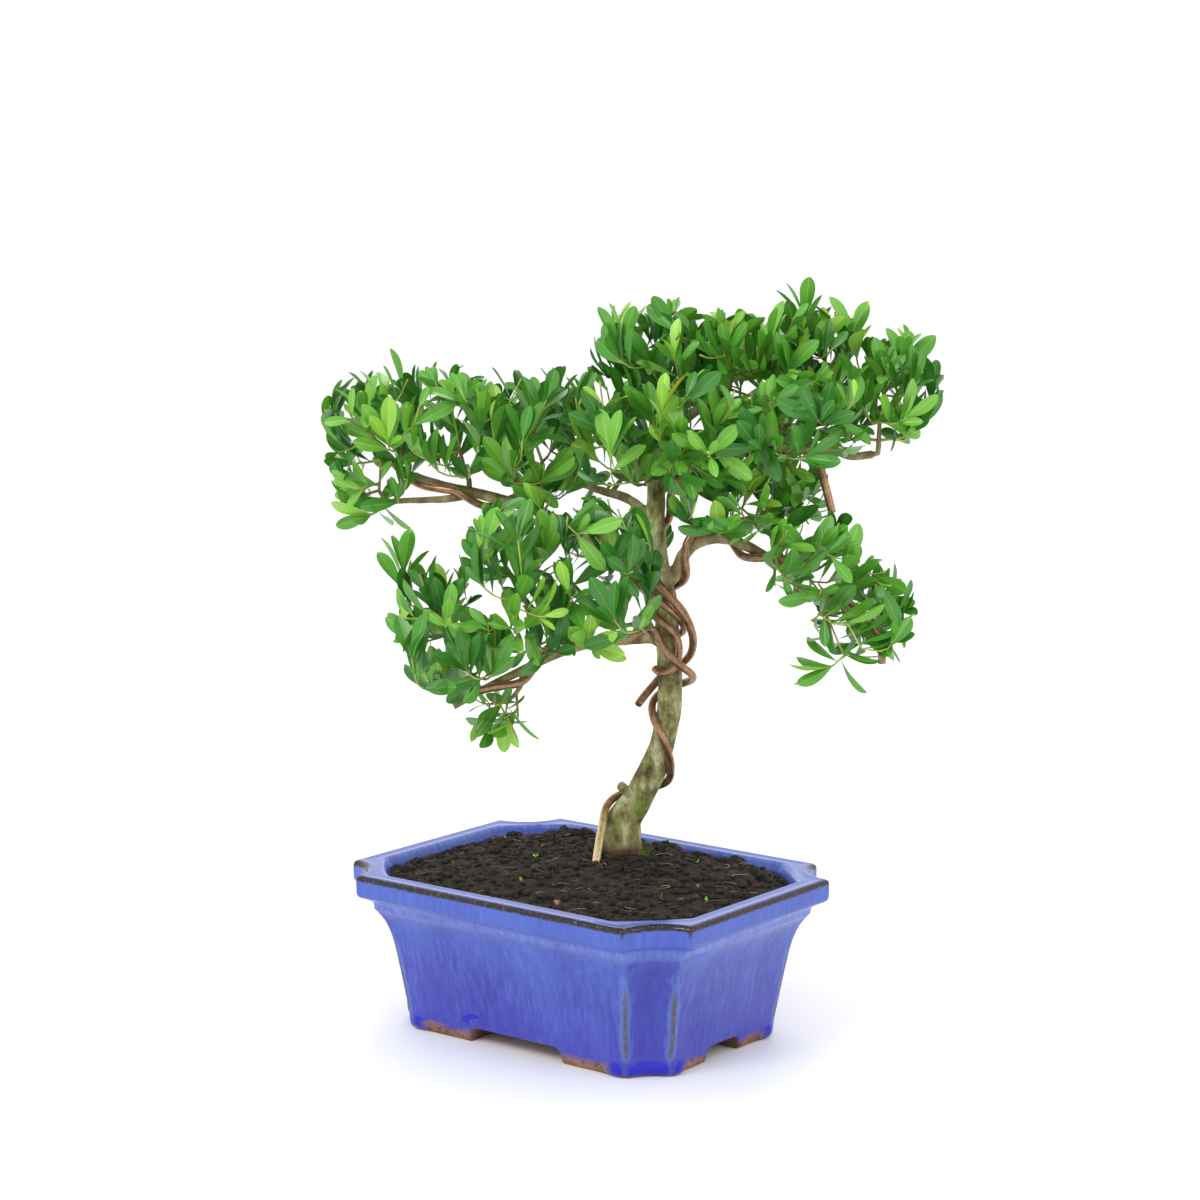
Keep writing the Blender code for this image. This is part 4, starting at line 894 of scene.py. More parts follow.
def outer_ring(inset, height, arch):
    """One ring of the outer wall or lip and its heights, raised over the foot arches."""
    notch = NOTCH_AT_BASE + (NOTCH_AT_WALL - NOTCH_AT_BASE) * min(1.0, height / LIP_FOOT)
    if height > WALL_TOP:
        notch += (NOTCH_AT_RIM - NOTCH_AT_WALL) * min(1.0, (height - WALL_TOP) / NOTCH_BLEND)
    flat = outline(inset, scooped(notch))
    heights = np.full(len(flat), height)
    if height < ARCH_ZONE:
        heights = arch + height * (ARCH_ZONE - arch) / ARCH_ZONE
        for index in np.nonzero(arch > 0.0)[0]:
            axis = 1 if abs(abs(flat[index, 1]) - (POT_WIDTH / 2 - inset)) < 0.0005 else 0
            half = (POT_LENGTH, POT_WIDTH)[axis] / 2
            if height > 0.001:
                flat[index, axis] = math.copysign(half - wall_inset(heights[index]), flat[index, axis])
    return flat, heights


def add_wall(rings, base, arch):
    """Outer wall and lip, with the marks that the glaze follows."""
    base_gaps, across = corner_marks(base)
    drip = drips(base_gaps, across) * (arch == 0.0)
    hollow = np.sin(math.pi * np.clip(across, 0.0, 1.0))
    ragged = np.array([noise.noise(Vector((x * CLAY_PITCH, y * CLAY_PITCH, 0.0))) for x, y in base])
    away = np.clip((base_gaps - CLAY_FROM) / CLAY_BLEND, 0.0, 1.0) * (across < 0.0)
    clay = np.where(arch > 0.0, CLAY_ON_ARCH, CLAY_AT_CORNER + CLAY_ON_SIDE * away) + CLAY_RAGGED * ragged
    for inset, height in pot_profile():
        flat, heights = outer_ring(inset, height, arch)
        above = heights - arch
        gaps, _ = corner_marks(flat)
        outward = flat / np.linalg.norm(flat, axis=1)[:, None]
        pool = drip * bell(above - DRIP_HEIGHT, DRIP_REACH)
        flat = flat + outward * (DRIP_SWELL * pool)[:, None]
        drop = np.hypot((base[:, 0] - DROP_SPOT[0]) / DROP_SIZE[0], (height - DROP_SPOT[1]) / DROP_SIZE[1])
        edge = math.hypot(inset - EDGE_SPOT[0], height - EDGE_SPOT[1])
        dab = bell(gaps, DAB_REACH) * min(DAB_MOST, clamped((height - DAB_FROM) / DAB_BLEND))
        tall = clamped((WALL_TOP - height) / ARRIS_FADE) * clamped((height - ARRIS_FROM) / ARRIS_BLEND)
        rings.add(flat, heights,
                  bare=np.clip(0.5 - (above - clay) / CLAY_SOFTNESS, 0.0, 1.0),
                  thin=np.maximum(bell(edge, EDGE_REACH), dab),
                  # pale: a painted highlight, a band under the lip
                  pale=HIGHLIGHT_BAND_MOST * bell(height - HIGHLIGHT_BAND_HEIGHT, HIGHLIGHT_BAND_REACH),
                  arris=bell(gaps, ARRIS_REACH) * tall,
                  pool=np.maximum(pool, bell(drop, 1.0) * (base[:, 1] < 0.0)),
                  flute=hollow * (height < WALL_TOP))


def add_inside(rings):
    """Rim's top face, inner wall and floor, with a painted highlight along the rim's inner edge."""
    outer = outline(RIM_START, scooped(NOTCH_AT_RIM))
    inner = outline(RIM_WIDTH - RIM_ROUND, chamfered(CHAMFER_AT_RIM))
    for share in RIM_SHARES:
        dip = RIM_DIP * math.sin(share * math.pi)
        # pale: a painted highlight growing towards the rim's inner edge
        rings.add(outer * (1 - share) + inner * share, POT_HEIGHT - dip, pale=0.45 * share ** 6)
    for drop in RIM_DROPS:
        inset = RIM_WIDTH - RIM_ROUND + RIM_ROUND * math.sin(drop / RIM_DROPS[-1] * math.pi / 2)
        # pale: the painted highlight fading as the rim rounds down into the pot
        rings.add(outline(inset, chamfered(CHAMFER_AT_RIM)), POT_HEIGHT - drop, pale=0.7 - 250 * drop)
    for height in INNER_HEIGHTS:
        inset, chamfer = inner_size(height)
        rings.add(outline(inset, chamfered(chamfer)), height, bare=float(height < INNER_GLAZE_FROM))
    floor = rings.points[-1][:, :2]
    for share in FLOOR_SHARES:
        rings.add(floor * share, FLOOR_TOP, bare=1.0)


def make_pot(finish):
    base = outline(SOLE_INSET, scooped(NOTCH_AT_BASE))
    arch = arch_height(base)
    rings = Rings(len(base))
    add_underside(rings, base, arch)
    add_wall(rings, base, arch)
    add_inside(rings)
    faces = tube_faces(len(rings.points), rings.count)
    pot = add_piece("pot_glazed", np.concatenate(rings.points), faces, [finish])
    marks = np.concatenate(rings.marks)
    paint(pot, "glaze", marks[:, :3])
    paint(pot, "glaze_runs", marks[:, 3:])
    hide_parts("pot")


# Soil

def soil_reach():
    """Distance from the trunk's foot to the pot's inner wall, by direction."""
    inset, chamfer = inner_size(SOIL_EDGE)
    edge = outline(inset, chamfered(chamfer))
    foot = turned([TRUNK_LINE[0]])[0][:2]
    away = edge - foot
    turns = np.arctan2(away[:, 1], away[:, 0])
    order = np.argsort(turns)
    turns, lengths = turns[order], np.linalg.norm(away, axis=1)[order]
    turns = np.concatenate([turns - 2 * math.pi, turns, turns + 2 * math.pi])
    return foot, turns, np.tile(lengths, 3)


def soil_height(x, y, reach):
    """The soil's height at a place, and how far the place lies inside the pot's wall."""
    foot, turns, lengths = reach
    away = np.array((x, y)) - foot
    limit = float(np.interp(math.atan2(away[1], away[0]), turns, lengths))
    distance = float(np.linalg.norm(away))
    share = clamped((limit - distance) / (limit - SOIL_CAP_RADIUS))
    level = SOIL_EDGE + (SOIL_TOP - SOIL_EDGE) * math.sin(share * math.pi / 2)
    spot = Vector((x, y, 0.0))
    rough = sum(depth * noise.noise(spot * pitch) for pitch, depth in SOIL_LUMPS)
    calm = min(1.0, distance / SOIL_CALM_REACH)
    return level + rough * (SOIL_CALM[0] + SOIL_CALM[1] * calm), limit - distance


def make_soil(finishes):
    reach = soil_reach()
    inset, _ = inner_size(SOIL_EDGE)
    half_length = POT_LENGTH / 2 - inset + SOIL_OVERLAP
    half_width = POT_WIDTH / 2 - inset + SOIL_OVERLAP
    columns = int(2 * half_length / SOIL_CELL)
    rows = int(2 * half_width / SOIL_CELL)
    points = []
    margins = []
    for row in range(rows + 1):
        for column in range(columns + 1):
            x = -half_length + 2 * half_length * column / columns
            y = -half_width + 2 * half_width * row / rows
            height, margin = soil_height(x, y, reach)
            points.append((x, y, height))
            margins.append(margin)
    faces = []
    for row in range(rows):
        for column in range(columns):
            first = row * (columns + 1) + column
            corners = (first, first + 1, first + columns + 2, first + columns + 1)
            if min(margins[corner] for corner in corners) > -SOIL_TUCK:
                faces.append(corners)
    soil = add_piece("soil_surface", points, faces, finishes[:1])
    drop_loose(soil)
    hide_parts("soil")
    make_clods(finishes, reach)
    make_fibres(reach)
    make_moss(reach)


def drop_loose(piece):
    """Drop the points that no face uses."""
    shape = bmesh.new()
    shape.from_mesh(piece.data)
    loose = [vertex for vertex in shape.verts if not vertex.link_faces]
    bmesh.ops.delete(shape, geom=loose, context="VERTS")
    shape.to_mesh(piece.data)
    shape.free()


def ball(subdivisions):
    shape = bmesh.new()
    bmesh.ops.create_icosphere(shape, subdivisions=subdivisions, radius=1.0)
    points = np.array([vertex.co[:] for vertex in shape.verts])
    faces = [tuple(vertex.index for vertex in face.verts) for face in shape.faces]
    shape.free()
    return points, faces


def soil_spot(rng, reach):
    """A random place on the soil, away from the wall and the trunk."""
    foot = reach[0]
    while True:
        x, y = [rng.uniform(-limit, limit) for limit in SPOT_RANGE]
        height, margin = soil_height(x, y, reach)
        if margin > SPOT_MARGIN and math.hypot(x - foot[0], y - foot[1]) > SPOT_FROM_TRUNK:
            return x, y, height, margin


def lumpy(points, depth, pitch, shift=(0.0, 0.0, 0.0)):
    """A ball's points pushed in and out by noise."""
    lumps = [1 + depth * noise.noise(Vector(point) * pitch + Vector(shift)) for point in points]
    return points * np.array(lumps)[:, None]


def make_clods(finishes, reach):
    rng = random.Random(CLOD_SEED)
    points, faces = ball(2)
    batch = Batch()
    for _ in range(CLODS):
        x, y, height, margin = soil_spot(rng, reach)
        size = CLOD_LEAST + CLOD_SPREAD * rng.random() ** CLOD_POWER
        if y > COARSE_FROM and rng.random() < COARSE_SHARE:
            size *= COARSE_SIZE
        size = min(size, margin * 0.8)
        lumps = lumpy(points, 0.55, 1.4, [rng.uniform(-9, 9) for _ in range(3)])
        stretch = np.array([rng.uniform(*limits) for limits in CLOD_STRETCH])
        middle = np.array((x, y, height + size * rng.uniform(0.0, 0.35)))
        batch.add(lumps * stretch * size + middle, faces, rng.choice((0, 1, 1, 2)))
    batch.piece("soil_clods", finishes, "peat", smooth=False)


def strand(rng, start, length, radius, lift, batch, kind):
    """A thin curved fibre lying on the soil."""
    turn = rng.uniform(0, 2 * math.pi)
    bend = rng.uniform(-STRAND_BEND, STRAND_BEND)
    line = [np.array(start)]
    for step in range(1, STRAND_STEPS + 1):
        share = step / STRAND_STEPS
        heading = turn + bend * share
        line.append(line[-1] + np.array((math.cos(heading), math.sin(heading), 0.0)) * length / STRAND_STEPS)
        line[-1][2] = start[2] + lift * math.sin(share * math.pi)
    line = np.array(line)
    radii = np.linspace(radius, radius * 0.5, len(line))
    batch.add(tube_points(line, radii, STRAND_SIDES), tube_faces(len(line), STRAND_SIDES), kind)


def make_fibres(reach):
    """Straws and rootlets, and a few pebbles."""
    rng = random.Random(FIBRE_SEED)
    straw = new_finish("straw_fibre", (0.48, 0.34, 0.19), 0.8)
    root = new_finish("root_fibre", (0.20, 0.115, 0.060), 0.85)
    stone = new_finish("pebble", (0.36, 0.17, 0.07), 0.7)
    batch = Batch()
    for _ in range(FIBRES):
        x, y, height, margin = soil_spot(rng, reach)
        length = min(rng.uniform(*FIBRE_LENGTH), margin * 1.1)
        radius = rng.uniform(*FIBRE_RADIUS)
        lift = rng.uniform(0.0, FIBRE_LIFT)
        strand(rng, (x, y, height + FIBRE_ABOVE), length, radius, lift, batch, rng.choice((0, 1, 1, 1)))
    points, faces = ball(2)
    for x, y, size in PEBBLES:
        height, _ = soil_height(x, y, reach)
        batch.add(lumpy(points, 0.7, 1.3) * size + np.array((x, y, height + size * 0.3)), faces, 2)
    batch.piece("soil_fibres", [straw, root, stone], "peat")


def make_moss(reach):
    """A mossy patch at the trunk's foot and a few seedlings."""
    rng = random.Random(MOSS_SEED)
    moss = new_finish("moss", (0.115, 0.185, 0.018), 0.9)
    sprout = new_finish("sprout", (0.130, 0.330, 0.030), 0.45)
    batch = Batch()
    foot = reach[0]
    for _ in range(MOSS_STRANDS):
        turn = rng.uniform(0, 2 * math.pi)
        away = rng.uniform(*MOSS_RING) * (0.8 + 0.4 * rng.random())
        if noise.noise(Vector((math.cos(turn), math.sin(turn), 3.1)) * 1.6) < -0.05:
            continue
        x, y = foot[0] + away * math.cos(turn), foot[1] + away * math.sin(turn)
        height, _ = soil_height(x, y, reach)
        strand(rng, (x, y, height), rng.uniform(*MOSS_LENGTH), MOSS_RADIUS, MOSS_LIFT, batch, 0)
    for x, y in SPROUTS:
        height, _ = soil_height(x, y, reach)
        root = np.array((x, y, height)) + np.array((0.0, 0.0, SPROUT_ABOVE))
        for _ in range(rng.randint(2, 4)):
            turn = rng.uniform(0, 2 * math.pi)
            out = np.array((math.cos(turn), math.sin(turn), rng.uniform(0.5, 1.1)))
            out /= np.linalg.norm(out)
            side = np.cross(out, (0.0, 0.0, 1.0))
            side /= np.linalg.norm(side)
            length = rng.uniform(*SPROUT_LENGTH)
            middle = root + out * length * 0.5
            half = side * length * SPROUT_HALF_WIDTH
            batch.add([root, middle + half, root + out * length, middle - half], [(0, 1, 2, 3)], 1)
    batch.piece("moss_and_sprouts", [moss, sprout], "leaf_green")


# Trunk and boughs

class Limb:
    """The line and radius of a limb, kept for what grows from it."""

    def __init__(self, line, radii):
        self.line = np.array(line, float)[:, :3]
        self.radii = np.array(radii, float)
        self.run = run_of(self.line)

    def at(self, share):
        mark = share * self.run[-1]
        point = np.array([np.interp(mark, self.run, self.line[:, axis]) for axis in range(3)])
        return point, float(np.interp(mark, self.run, self.radii))

    def heading(self, share):
        ahead, _ = self.at(min(1.0, share + 0.03))
        behind, _ = self.at(max(0.0, share - 0.03))
        return (ahead - behind) / np.linalg.norm(ahead - behind)


def bark_relief(seed, depth):
    """Ridges and lumps of bark, by place round and along a limb."""
    def relief(turn, run, radius):
        spot = Vector((math.cos(turn) * radius, math.sin(turn) * radius, run * 0.45 + seed))
        drawn = Vector((spot.x, spot.y, spot.z * 0.6))
        layers = ((spot, *RELIEF_LUMPS), (spot, *RELIEF_RIDGES), (drawn, *RELIEF_GRAIN))
        return depth * sum(noise.noise(place * pitch) * share for place, pitch, share in layers)
    return relief


def make_limbs(finish):
    """The trunk and every bough with bark relief, in one mesh."""
    limbs = {}
    batch = Batch()
    marks = []

    def add(line, radii, sides, relief, young, shape=None):
        points = tube_points(line, radii, sides, relief)
        if shape:
            points = shape(points)
        placed = turned(points)
        batch.add(placed, tube_faces(len(line), sides))
        for point in placed:
            height = point[2]
            patch = noise.noise(Vector(point) * 85)
            moss = clamped((MOSS_TOP - height) / MOSS_FADE) * clamped(patch * 3.2)
            earth = clamped((EARTH_TOP - height + 0.003 * patch) / EARTH_FADE)
            marks.append((young, moss * (1 - earth), earth))

    line = smooth_line(TRUNK_LINE, 0.0011)
    limbs["trunk"] = Limb(line, line[:, 3])
    sunk = line[0].copy()
    sunk[2] -= SUNK
    trunk = np.concatenate([[sunk], line])

    def flared(points):
        foot = trunk[1, :3]
        for point in points:
            up = (point[2] - foot[2]) / ROOT_FLARE_HEIGHT
            if up < 1.0:
                up = max(0.0, up)
                away = point[:2] - foot[:2]
                turn = math.atan2(away[1], away[0]) + PLANT_TURN
                spread = 1 + ROOT_RIDGE_DEPTH * (1 - up) ** 2 * math.cos(ROOT_RIDGES * turn)
                point[:2] = foot[:2] + away * spread
        return points

    add(trunk[:, :3], trunk[:, 3], 40, bark_relief(0.0, 0.00085), 0.0, flared)
    stub = smooth_line([(*point, radius) for point, radius in zip(STUB_LINE, STUB_RADII)], 0.0009)
    add(stub[:, :3], stub[:, 3], 14, bark_relief(4.0, 0.0006), 0.1)
    for number, (name, (parent, share, start_radius, end_radius, points)) in enumerate(BOUGHS.items()):
        anchor, parent_radius = limbs[parent].at(share)
        line = smooth_line([anchor] + points, 0.0012)
        run = run_of(line)
        radii = start_radius + (end_radius - start_radius) * run / run[-1]
        limbs[name] = Limb(line, radii)
        collar = 0.0 if share == 1.0 else COLLAR_SHARE * start_radius
        radii = radii + collar * np.exp(-np.maximum(0.0, run - parent_radius) / COLLAR_REACH)
        add(line, radii, 16, bark_relief(7.0 + number, 0.00045), 0.55 if parent == "trunk" else 0.8)
    bark = batch.piece("bark", [finish], "bark")
    paint(bark, "bark", np.array(marks))
    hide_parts("trunk", *BOUGHS)
    return limbs


def make_wires(frame, finish, cut):
    """Each training wire is the CAD tube made round, with its cut ends bright."""
    for name in WIRES:
        mesh = frame["nodes"][name].data.copy()
        shape = bmesh.new()
        shape.from_mesh(mesh)
        bmesh.ops.remove_doubles(shape, verts=shape.verts, dist=0.00002)
        bmesh.ops.dissolve_limit(shape, angle_limit=math.radians(0.4), verts=shape.verts, edges=shape.edges)
        bmesh.ops.join_triangles(shape, faces=shape.faces, angle_face_threshold=math.radians(50),
                                 angle_shape_threshold=math.radians(60))
        bmesh.ops.recalc_face_normals(shape, faces=shape.faces)
        caps = [face for face in shape.faces if len(face.verts) == WIRE_SIDES]
        for vertex in shape.verts:
            vertex.co += vertex.normal * WIRE_SWELL
        for face in caps:
            face.material_index = 1
        bmesh.ops.inset_individual(shape, faces=caps, thickness=WIRE_CAP_RIM)
        for face in shape.faces:
            face.smooth = True
        shape.to_mesh(mesh)
        shape.free()
        mesh.materials.clear()
        mesh.materials.append(finish)
        mesh.materials.append(cut)
        piece = new_object(name + "_round", mesh)
        smooth = piece.modifiers.new("round", "SUBSURF")
        smooth.levels = 2
        smooth.render_levels = 2
        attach(piece, BODY)
        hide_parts(name)


# Foliage

def reach_towards(direction, radii):
    return float((np.abs(direction / np.array(radii)) ** BOX_POWER).sum() ** (-1 / BOX_POWER))


def spaces():
    """Each mass has a rounded box, cut by a plane between it and each neighbour."""
    found = {}
    for name, (_, _, middle, radii, _) in MASSES.items():
        middle = np.array(middle)
        planes = []
        for other, (_, _, far, far_radii, _) in MASSES.items():
            if other == name:
                continue
            away = np.array(far) - middle
            distance = np.linalg.norm(away)
            away = away / distance
            mine = reach_towards(away, radii)
            theirs = reach_towards(away, far_radii)
            planes.append((*away, float(away @ middle) + distance * mine / (mine + theirs) + PLANE_SLACK))
        planes = np.array(planes)
        found[name] = (middle, np.array(radii), planes[:, :3], planes[:, 3])
    return found


def inside(points, space, reach=1.0):
    middle, radii, normals, limits = space
    points = np.atleast_2d(points)
    if ((np.abs((points - middle) / (radii * reach)) ** BOX_POWER).sum(1) > 1.0).any():
        return False
    return bool((points @ normals.T <= limits).all())


def in_gap(points):
    """Whether any point lies in a gap that shows sky, along the camera's line through it."""
    spot = np.array(CAMERA_SPOT)
    away = np.atleast_2d(points) - spot
    seen = spot + away * (-spot[1] / away[:, 1])[:, None]
    for across, up, half_width, half_height in SKY_GAPS:
        if (((seen[:, 0] - across) / half_width) ** 2 + ((seen[:, 2] - up) / half_height) ** 2 < 1.0).any():
            return True
    return False


def cells_of(points):
    """The small cells of space that points fall in."""
    return {tuple(cell) for cell in np.floor(points / LEAF_CELL).astype(int).tolist()}


def side_of(axis, reference):
    side = np.cross(axis, reference)
    if np.linalg.norm(side) < 1e-6:
        side = np.cross(axis, (1.0, 0.0, 0.0))
    return side / np.linalg.norm(side)


class Obstacles:
    """The trunk, boughs and wires as solid bodies that twigs and leaves keep clear of."""

    def __init__(self, frame):
        points = []
        faces = []
        for name in ("trunk", *BOUGHS, *WIRES):
            mesh = frame["nodes"][name].data
            base = len(points)
            points += [vertex.co[:] for vertex in mesh.vertices]
            faces += [tuple(base + corner for corner in polygon.vertices) for polygon in mesh.polygons]
        self.tree = BVHTree.FromPolygons(points, faces)

    def near(self, points, room):
        return any(self.tree.find_nearest(Vector(point), room)[0] is not None for point in turned(points))


def spread_ends(space, start, count, rng):
    """Places for the ends of twigs, each as far as can be from the start and from the ones before."""
    middle, radii = space[:2]
    free = []
    for _ in range(END_TRIES):
        offset = radii * np.array([rng.uniform(-1.0, 1.0) for _ in range(3)])
        if inside(middle + offset, space):
            free.append(middle + offset * END_REACH)
    free = np.array(free)
    gaps = np.linalg.norm(free - start, axis=1)
    chosen = []
    for _ in range(count):
        best = free[int(np.argmax(gaps))]
        chosen.append(best)
        gaps = np.minimum(gaps, np.linalg.norm(free - best, axis=1))
    return sorted(chosen, key=lambda end: np.linalg.norm(end - start))


def bent(start, end, lift, sway):
    """A twig's line: it leaves outward and turns up towards its end."""
    bow = start + (end - start) * np.array(TWIG_BOW) - np.array((0.0, 0.0, lift)) + sway
    return smooth_line([start, start * 0.25 + bow * 0.5 + end * 0.25, end], TWIG_STEP)


def stem_of(name, limbs):
    """A mass's stem, from inside its limb to a hub in its space."""
    limb_name, share, middle, _, _ = MASSES[name]
    middle = np.array(middle)
    carrier = limbs[limb_name]
    foot, limb_radius = carrier.at(share)
    heading = carrier.heading(share)
    outward = heading
    if share < 1.0:
        outward = middle - foot
        outward = outward - heading * (outward @ heading)
        outward /= np.linalg.norm(outward)
    lead = foot + outward * (limb_radius * (share < 1.0) + STEM_LEAD)
    hub = lead + (middle - lead) * HUB_SHARE
    sag = lead * 0.5 + hub * 0.5 - np.array((0, 0, STEM_SAG))
    line = smooth_line([foot, lead, sag, hub], STEM_STEP)
    return Limb(line, np.linspace(STEM_RADIUS, TWIG_RADIUS, len(line)))


def nearest_twig(end, twigs):
    """The place on the twigs so far from which a new one reaches its end with the least wood."""
    foot = twigs[0][0][0]
    best = None
    for line, sizes, _ in twigs:
        start = max(1, int(len(line) * BRANCH_FROM))
        spots = line[start:]
        costs = np.linalg.norm(end - spots, axis=1) + BRANCH_WEIGHT * np.linalg.norm(spots - foot, axis=1)
        index = int(np.argmin(costs))
        if best is None or costs[index] < best[0]:
            best = (costs[index], spots[index], sizes[start + index])
    return best


def grow(name, stem, obstacles, space, rng):
    """The twigs of one mass: lines with radii and an order, 0 its one stem, 1 a twig, 2 a leader."""
    count = MASSES[name][-1] * SPRAYS_PER_TWIG
    hub = stem.line[-1]
    twigs = [(stem.line, stem.radii, 0)]
    leaders = [np.array(tip) for tip in LEADERS.get(name, ())]
    ends = [(tip, 1) for tip in spread_ends(space, hub, count, rng)] + [(tip, 2) for tip in leaders]
    for reach, order in ends:
        lift = rng.uniform(*TWIG_LIFT)
        sway = np.array([rng.uniform(-TWIG_SWAY, TWIG_SWAY), rng.uniform(-TWIG_SWAY, TWIG_SWAY), 0.0])
        for pull in TWIG_PULLS:
            end = hub + (reach - hub) * pull
            _, spot, size = nearest_twig(end, twigs)
            if np.linalg.norm(end - spot) < SHORTEST_TWIG:
                continue
            line = bent(spot, end, lift, sway)
            sizes = np.linspace(min(size, TWIG_RADIUS) * TWIG_TAPER, TIP_RADIUS, len(line))
            if not obstacles.near(line[2:], TWIG_RADIUS + LIMB_CLEARANCE):
                twigs.append((line, sizes, order))
                break
    return twigs


def leaf_at(twig, back, turn, jitter, roll):
    """Root, direction and face of a leaf that stands a distance back from a twig's end."""
    share = 1.0 - back / twig.run[-1]
    root, _ = twig.at(share)
    axis = twig.heading(share)
    side = side_of(axis, np.array((0.3, 0.1, 1.0)))
    other = np.cross(axis, side)
    tilt = LEAF_TILT_AT_TIP + (LEAF_TILT_BACK - LEAF_TILT_AT_TIP) * min(1.0, back / LEAF_OPENING) + jitter
    around = math.cos(turn) * side + math.sin(turn) * other
    along = axis * math.cos(tilt) + around * math.sin(tilt) + np.array((0.0, 0.0, LEAF_RISE))
    along /= np.linalg.norm(along)
    face = axis - along * (axis @ along)
    face /= np.linalg.norm(face)
    face = face * math.cos(roll) + np.cross(along, face) * math.sin(roll)
    return root, along, face


def blade(root, along, face, length, arch):
    """A leaf's points, row by row: edge, half, vein, vein, half, edge."""
    side = np.cross(along, face)
    scale = length / LEAF_LENGTH
    points = []
    for share, spread in zip(LEAF_ROWS, LEAF_SPREAD):
        half = LEAF_WIDTH / 2 * spread * scale
        vein = min(VEIN_HALF, half * 0.6)
        bend = -arch * length * (share - LEAF_ARCH_FROM) ** 2
        for across in (-half, -half * LEAF_INNER, -vein, vein, half * LEAF_INNER, half):
            cup = LEAF_CUP * abs(across) * (1.0 if abs(across) > vein else 0.0)
            points.append(root + along * length * share + side * across + face * (bend + cup))
    return np.array(points)


def blade_faces():
    faces = []
    kinds = []
    for row in range(len(LEAF_ROWS) - 1):
        for column in range(LEAF_COLUMNS - 1):
            first = row * LEAF_COLUMNS + column
            above = first + LEAF_COLUMNS
            faces.append((first, first + 1, above + 1, above))
            kinds.append(1 if column == 2 else 0)
    return faces, kinds


def leaf_samples(points):
    """A few points of a blade beyond its inner part, to test what it touches."""
    rows = [row for row, share in enumerate(LEAF_ROWS) if share > LEAF_FREE_FROM]
    return np.concatenate([points[row * LEAF_COLUMNS + np.array((0, 2, 5))] for row in rows])


def leaves_on(line, sizes, rng, space, obstacles, taken, leads):
    """Leaves along the outer part of a twig, opening out round its tip."""
    found = []
    twig = Limb(line, sizes)
    turn = rng.uniform(0.0, 2 * math.pi)
    reach = rng.uniform(*SPRAY_REACH)
    if leads:
        reach = LEADER_REACH
    for back in LEAF_BACKS:
        turn += GOLDEN_TURN
        jitter = math.radians(rng.uniform(-LEAF_JITTER, LEAF_JITTER))
        roll = math.radians(rng.uniform(-LEAF_ROLL, LEAF_ROLL))
        stretch = rng.uniform(*LEAF_STRETCH)
        arch = rng.uniform(*LEAF_ARCH)
        if back > LEAFY_SHARE * twig.run[-1]:
            continue
        for size, swing in [(size, swing) for size in LEAF_SIZES for swing in LEAF_TURNS]:
            length = LEAF_LENGTH * size * stretch * (END_LEAF_SIZE if back < END_LEAF_BACK else 1.0)
            root, along, face = leaf_at(twig, back, turn + swing, jitter, roll)
            points = blade(root, along, face, length, arch)
            samples = leaf_samples(points)
            if not inside(samples, space, reach) or in_gap(samples):
                continue
            cells = cells_of(samples)
            if cells & taken or obstacles.near(samples, LIMB_CLEARANCE):
                continue
            taken |= cells
            found.append((points, back))
            break
    return found


def pick_tint(rng):
    mark = rng.random()
    for name, _, _, share in TINTS:
        mark -= share
        if mark <= 0:
            return name
    return TINTS[-1][0]


def make_foliage(frame, limbs, bark):
    obstacles = Obstacles(frame)
    room = spaces()
    faces, kinds = blade_faces()
    leaves = {name: Batch() for name, *_ in TINTS}
    old, young = Batch(), Batch()
    taken = set()
    for number, name in enumerate(MASSES):
        rng = random.Random(FOLIAGE_SEED + number)
        stem = stem_of(name, limbs)
        for line, sizes, order in grow(name, stem, obstacles, room[name], rng):
            batch = young if order else old
            batch.add(turned(tube_points(line, sizes, TWIG_SIDES)), tube_faces(len(line), TWIG_SIDES))
            if not order:
                continue
            tint = pick_tint(rng)
            fresh_tip = rng.random() < FRESH_SHARE
            for points, back in leaves_on(line, sizes, rng, room[name], obstacles, taken, order == 2):
                kind = rng.choice(FRESH) if fresh_tip and back < FRESH_BACK else tint
                if rng.random() < YELLOW_SHARE:
                    kind = "yellow"
                leaves[kind].add(turned(points), faces, kinds)
    stems = old.piece("twigs_old", [bark], "bark")
    paint(stems, "bark", np.tile((1.0, 0.0, 0.0), (len(stems.data.vertices), 1)))
    shoots = young.piece("twigs_young", [shoot_finish()], "leaf_green")
    for name, blade_colour, vein_colour, _ in TINTS:
        finish = new_finish("leaf_" + name, blade_colour, 0.34)
        vein = new_finish("vein_" + name, vein_colour, 0.42)
        leaves[name].piece("leaves_" + name, [finish, vein], "leaf_green")
    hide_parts(*("foliage_" + name for name in MASSES))


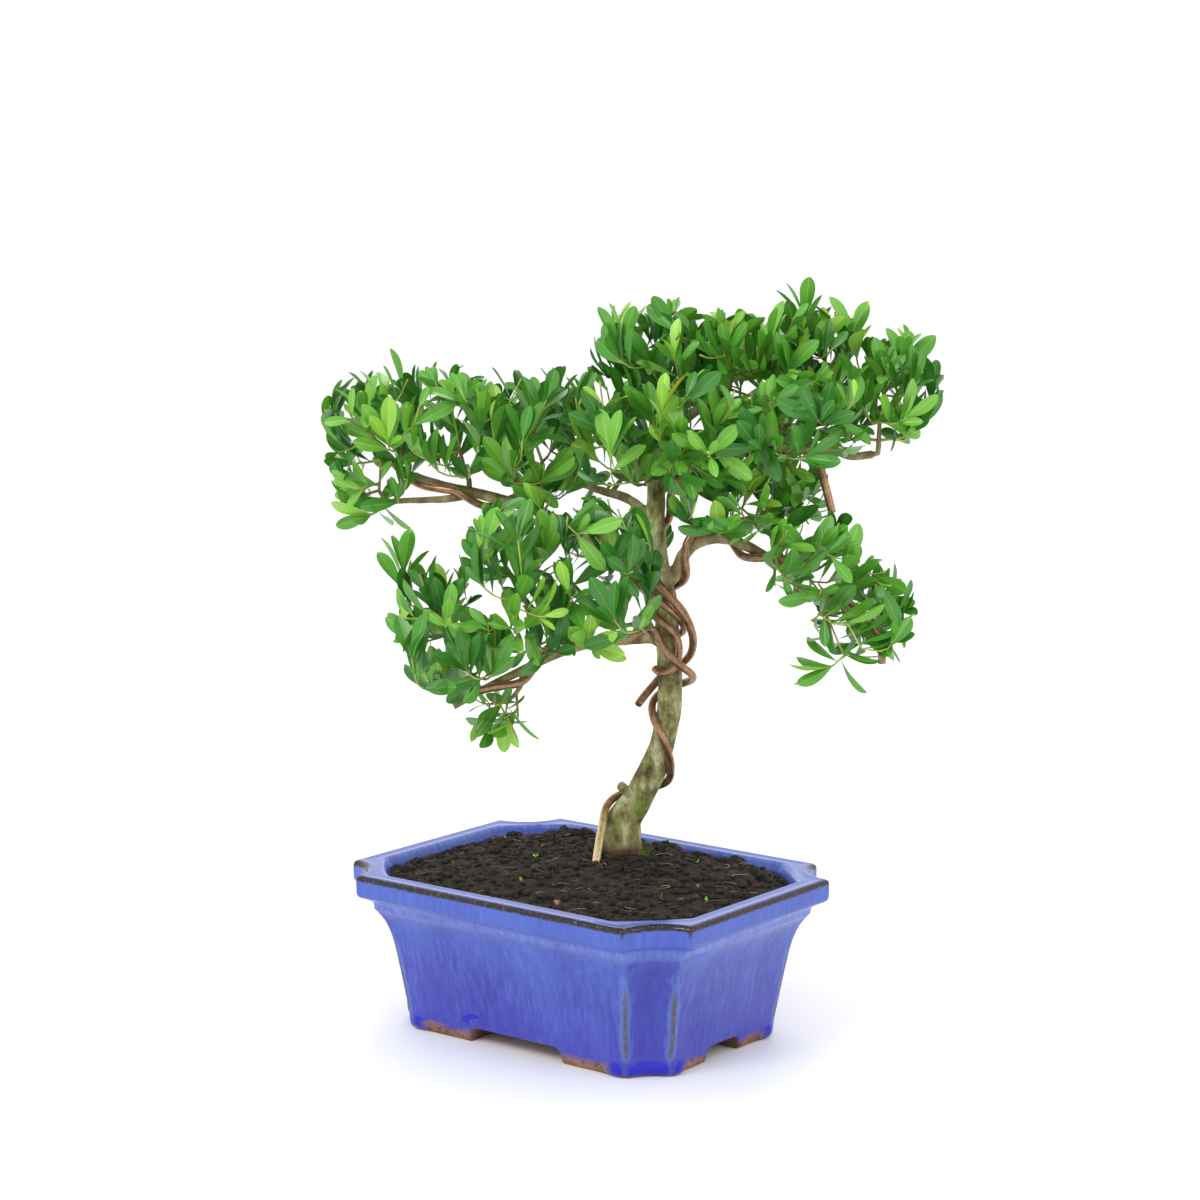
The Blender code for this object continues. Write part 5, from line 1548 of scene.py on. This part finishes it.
def shoot_finish():
    finish = new_finish("shoot", (0.20, 0.20, 0.06), 0.6)
    tree = Tree(finish)
    mottle = tree.noise(60.0, 3.0, 0.6)
    tree.colour(tree.ramp(mottle, [(0.32, (0.230, 0.160, 0.060)), (0.44, (0.300, 0.310, 0.065)),
                                   (0.62, (0.360, 0.500, 0.080))]))
    return finish


# Room, light and camera

def area_light(name, spot, target, size, power):
    data = bpy.data.lights.new(name, "AREA")
    data.shape = "RECTANGLE"
    data.size, data.size_y = size
    data.energy = power
    light = new_object(name, data)
    light.location = turned([spot])[0]
    heading = Vector(turned([target])[0]) - light.location
    light.rotation_euler = heading.to_track_quat("-Z", "Y").to_euler()


def make_room():
    mesh = bpy.data.meshes.new("floor")
    corners = [(x * FLOOR_HALF, y * FLOOR_HALF, 0.0) for x, y in ((-1, -1), (1, -1), (1, 1), (-1, 1))]
    mesh.from_pydata(corners, [], [(0, 1, 2, 3)])
    mesh.materials.append(new_finish("floor", FLOOR_WHITE, 0.6))
    floor = new_object("floor", mesh)
    world = bpy.context.scene.world or bpy.data.worlds.new("room")
    bpy.context.scene.world = world
    world.use_nodes = True
    sky = world.node_tree.nodes["Background"]
    sky.inputs["Color"].default_value = (1.0, 1.0, 1.0, 1.0)
    sky.inputs["Strength"].default_value = SKY_POWER
    for light in LIGHTS:
        area_light(*light)


def make_camera():
    data = bpy.data.cameras.new("view")
    data.lens = CAMERA_LENS
    data.sensor_width = CAMERA_SENSOR
    data.sensor_fit = "HORIZONTAL"
    camera = new_object("view", data)
    camera.matrix_world = (Matrix.Rotation(PLANT_TURN, 4, "Z") @ Matrix.Translation(CAMERA_SPOT)
                           @ Matrix.Rotation(math.pi / 2 - CAMERA_PITCH, 4, "X"))
    bpy.context.scene.camera = camera


def main():
    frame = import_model()
    make_camera()
    make_room()
    bpy.context.scene.view_settings.view_transform = "Standard"
    make_pot(glaze_finish())
    make_soil([peat_finish(*row) for row in PEATS])
    bark = bark_finish()
    limbs = make_limbs(bark)
    make_wires(frame, wire_finish(), new_finish("cut_wire", (0.75, 0.72, 0.68), 0.3, 1.0))
    make_foliage(frame, limbs, bark)


main()
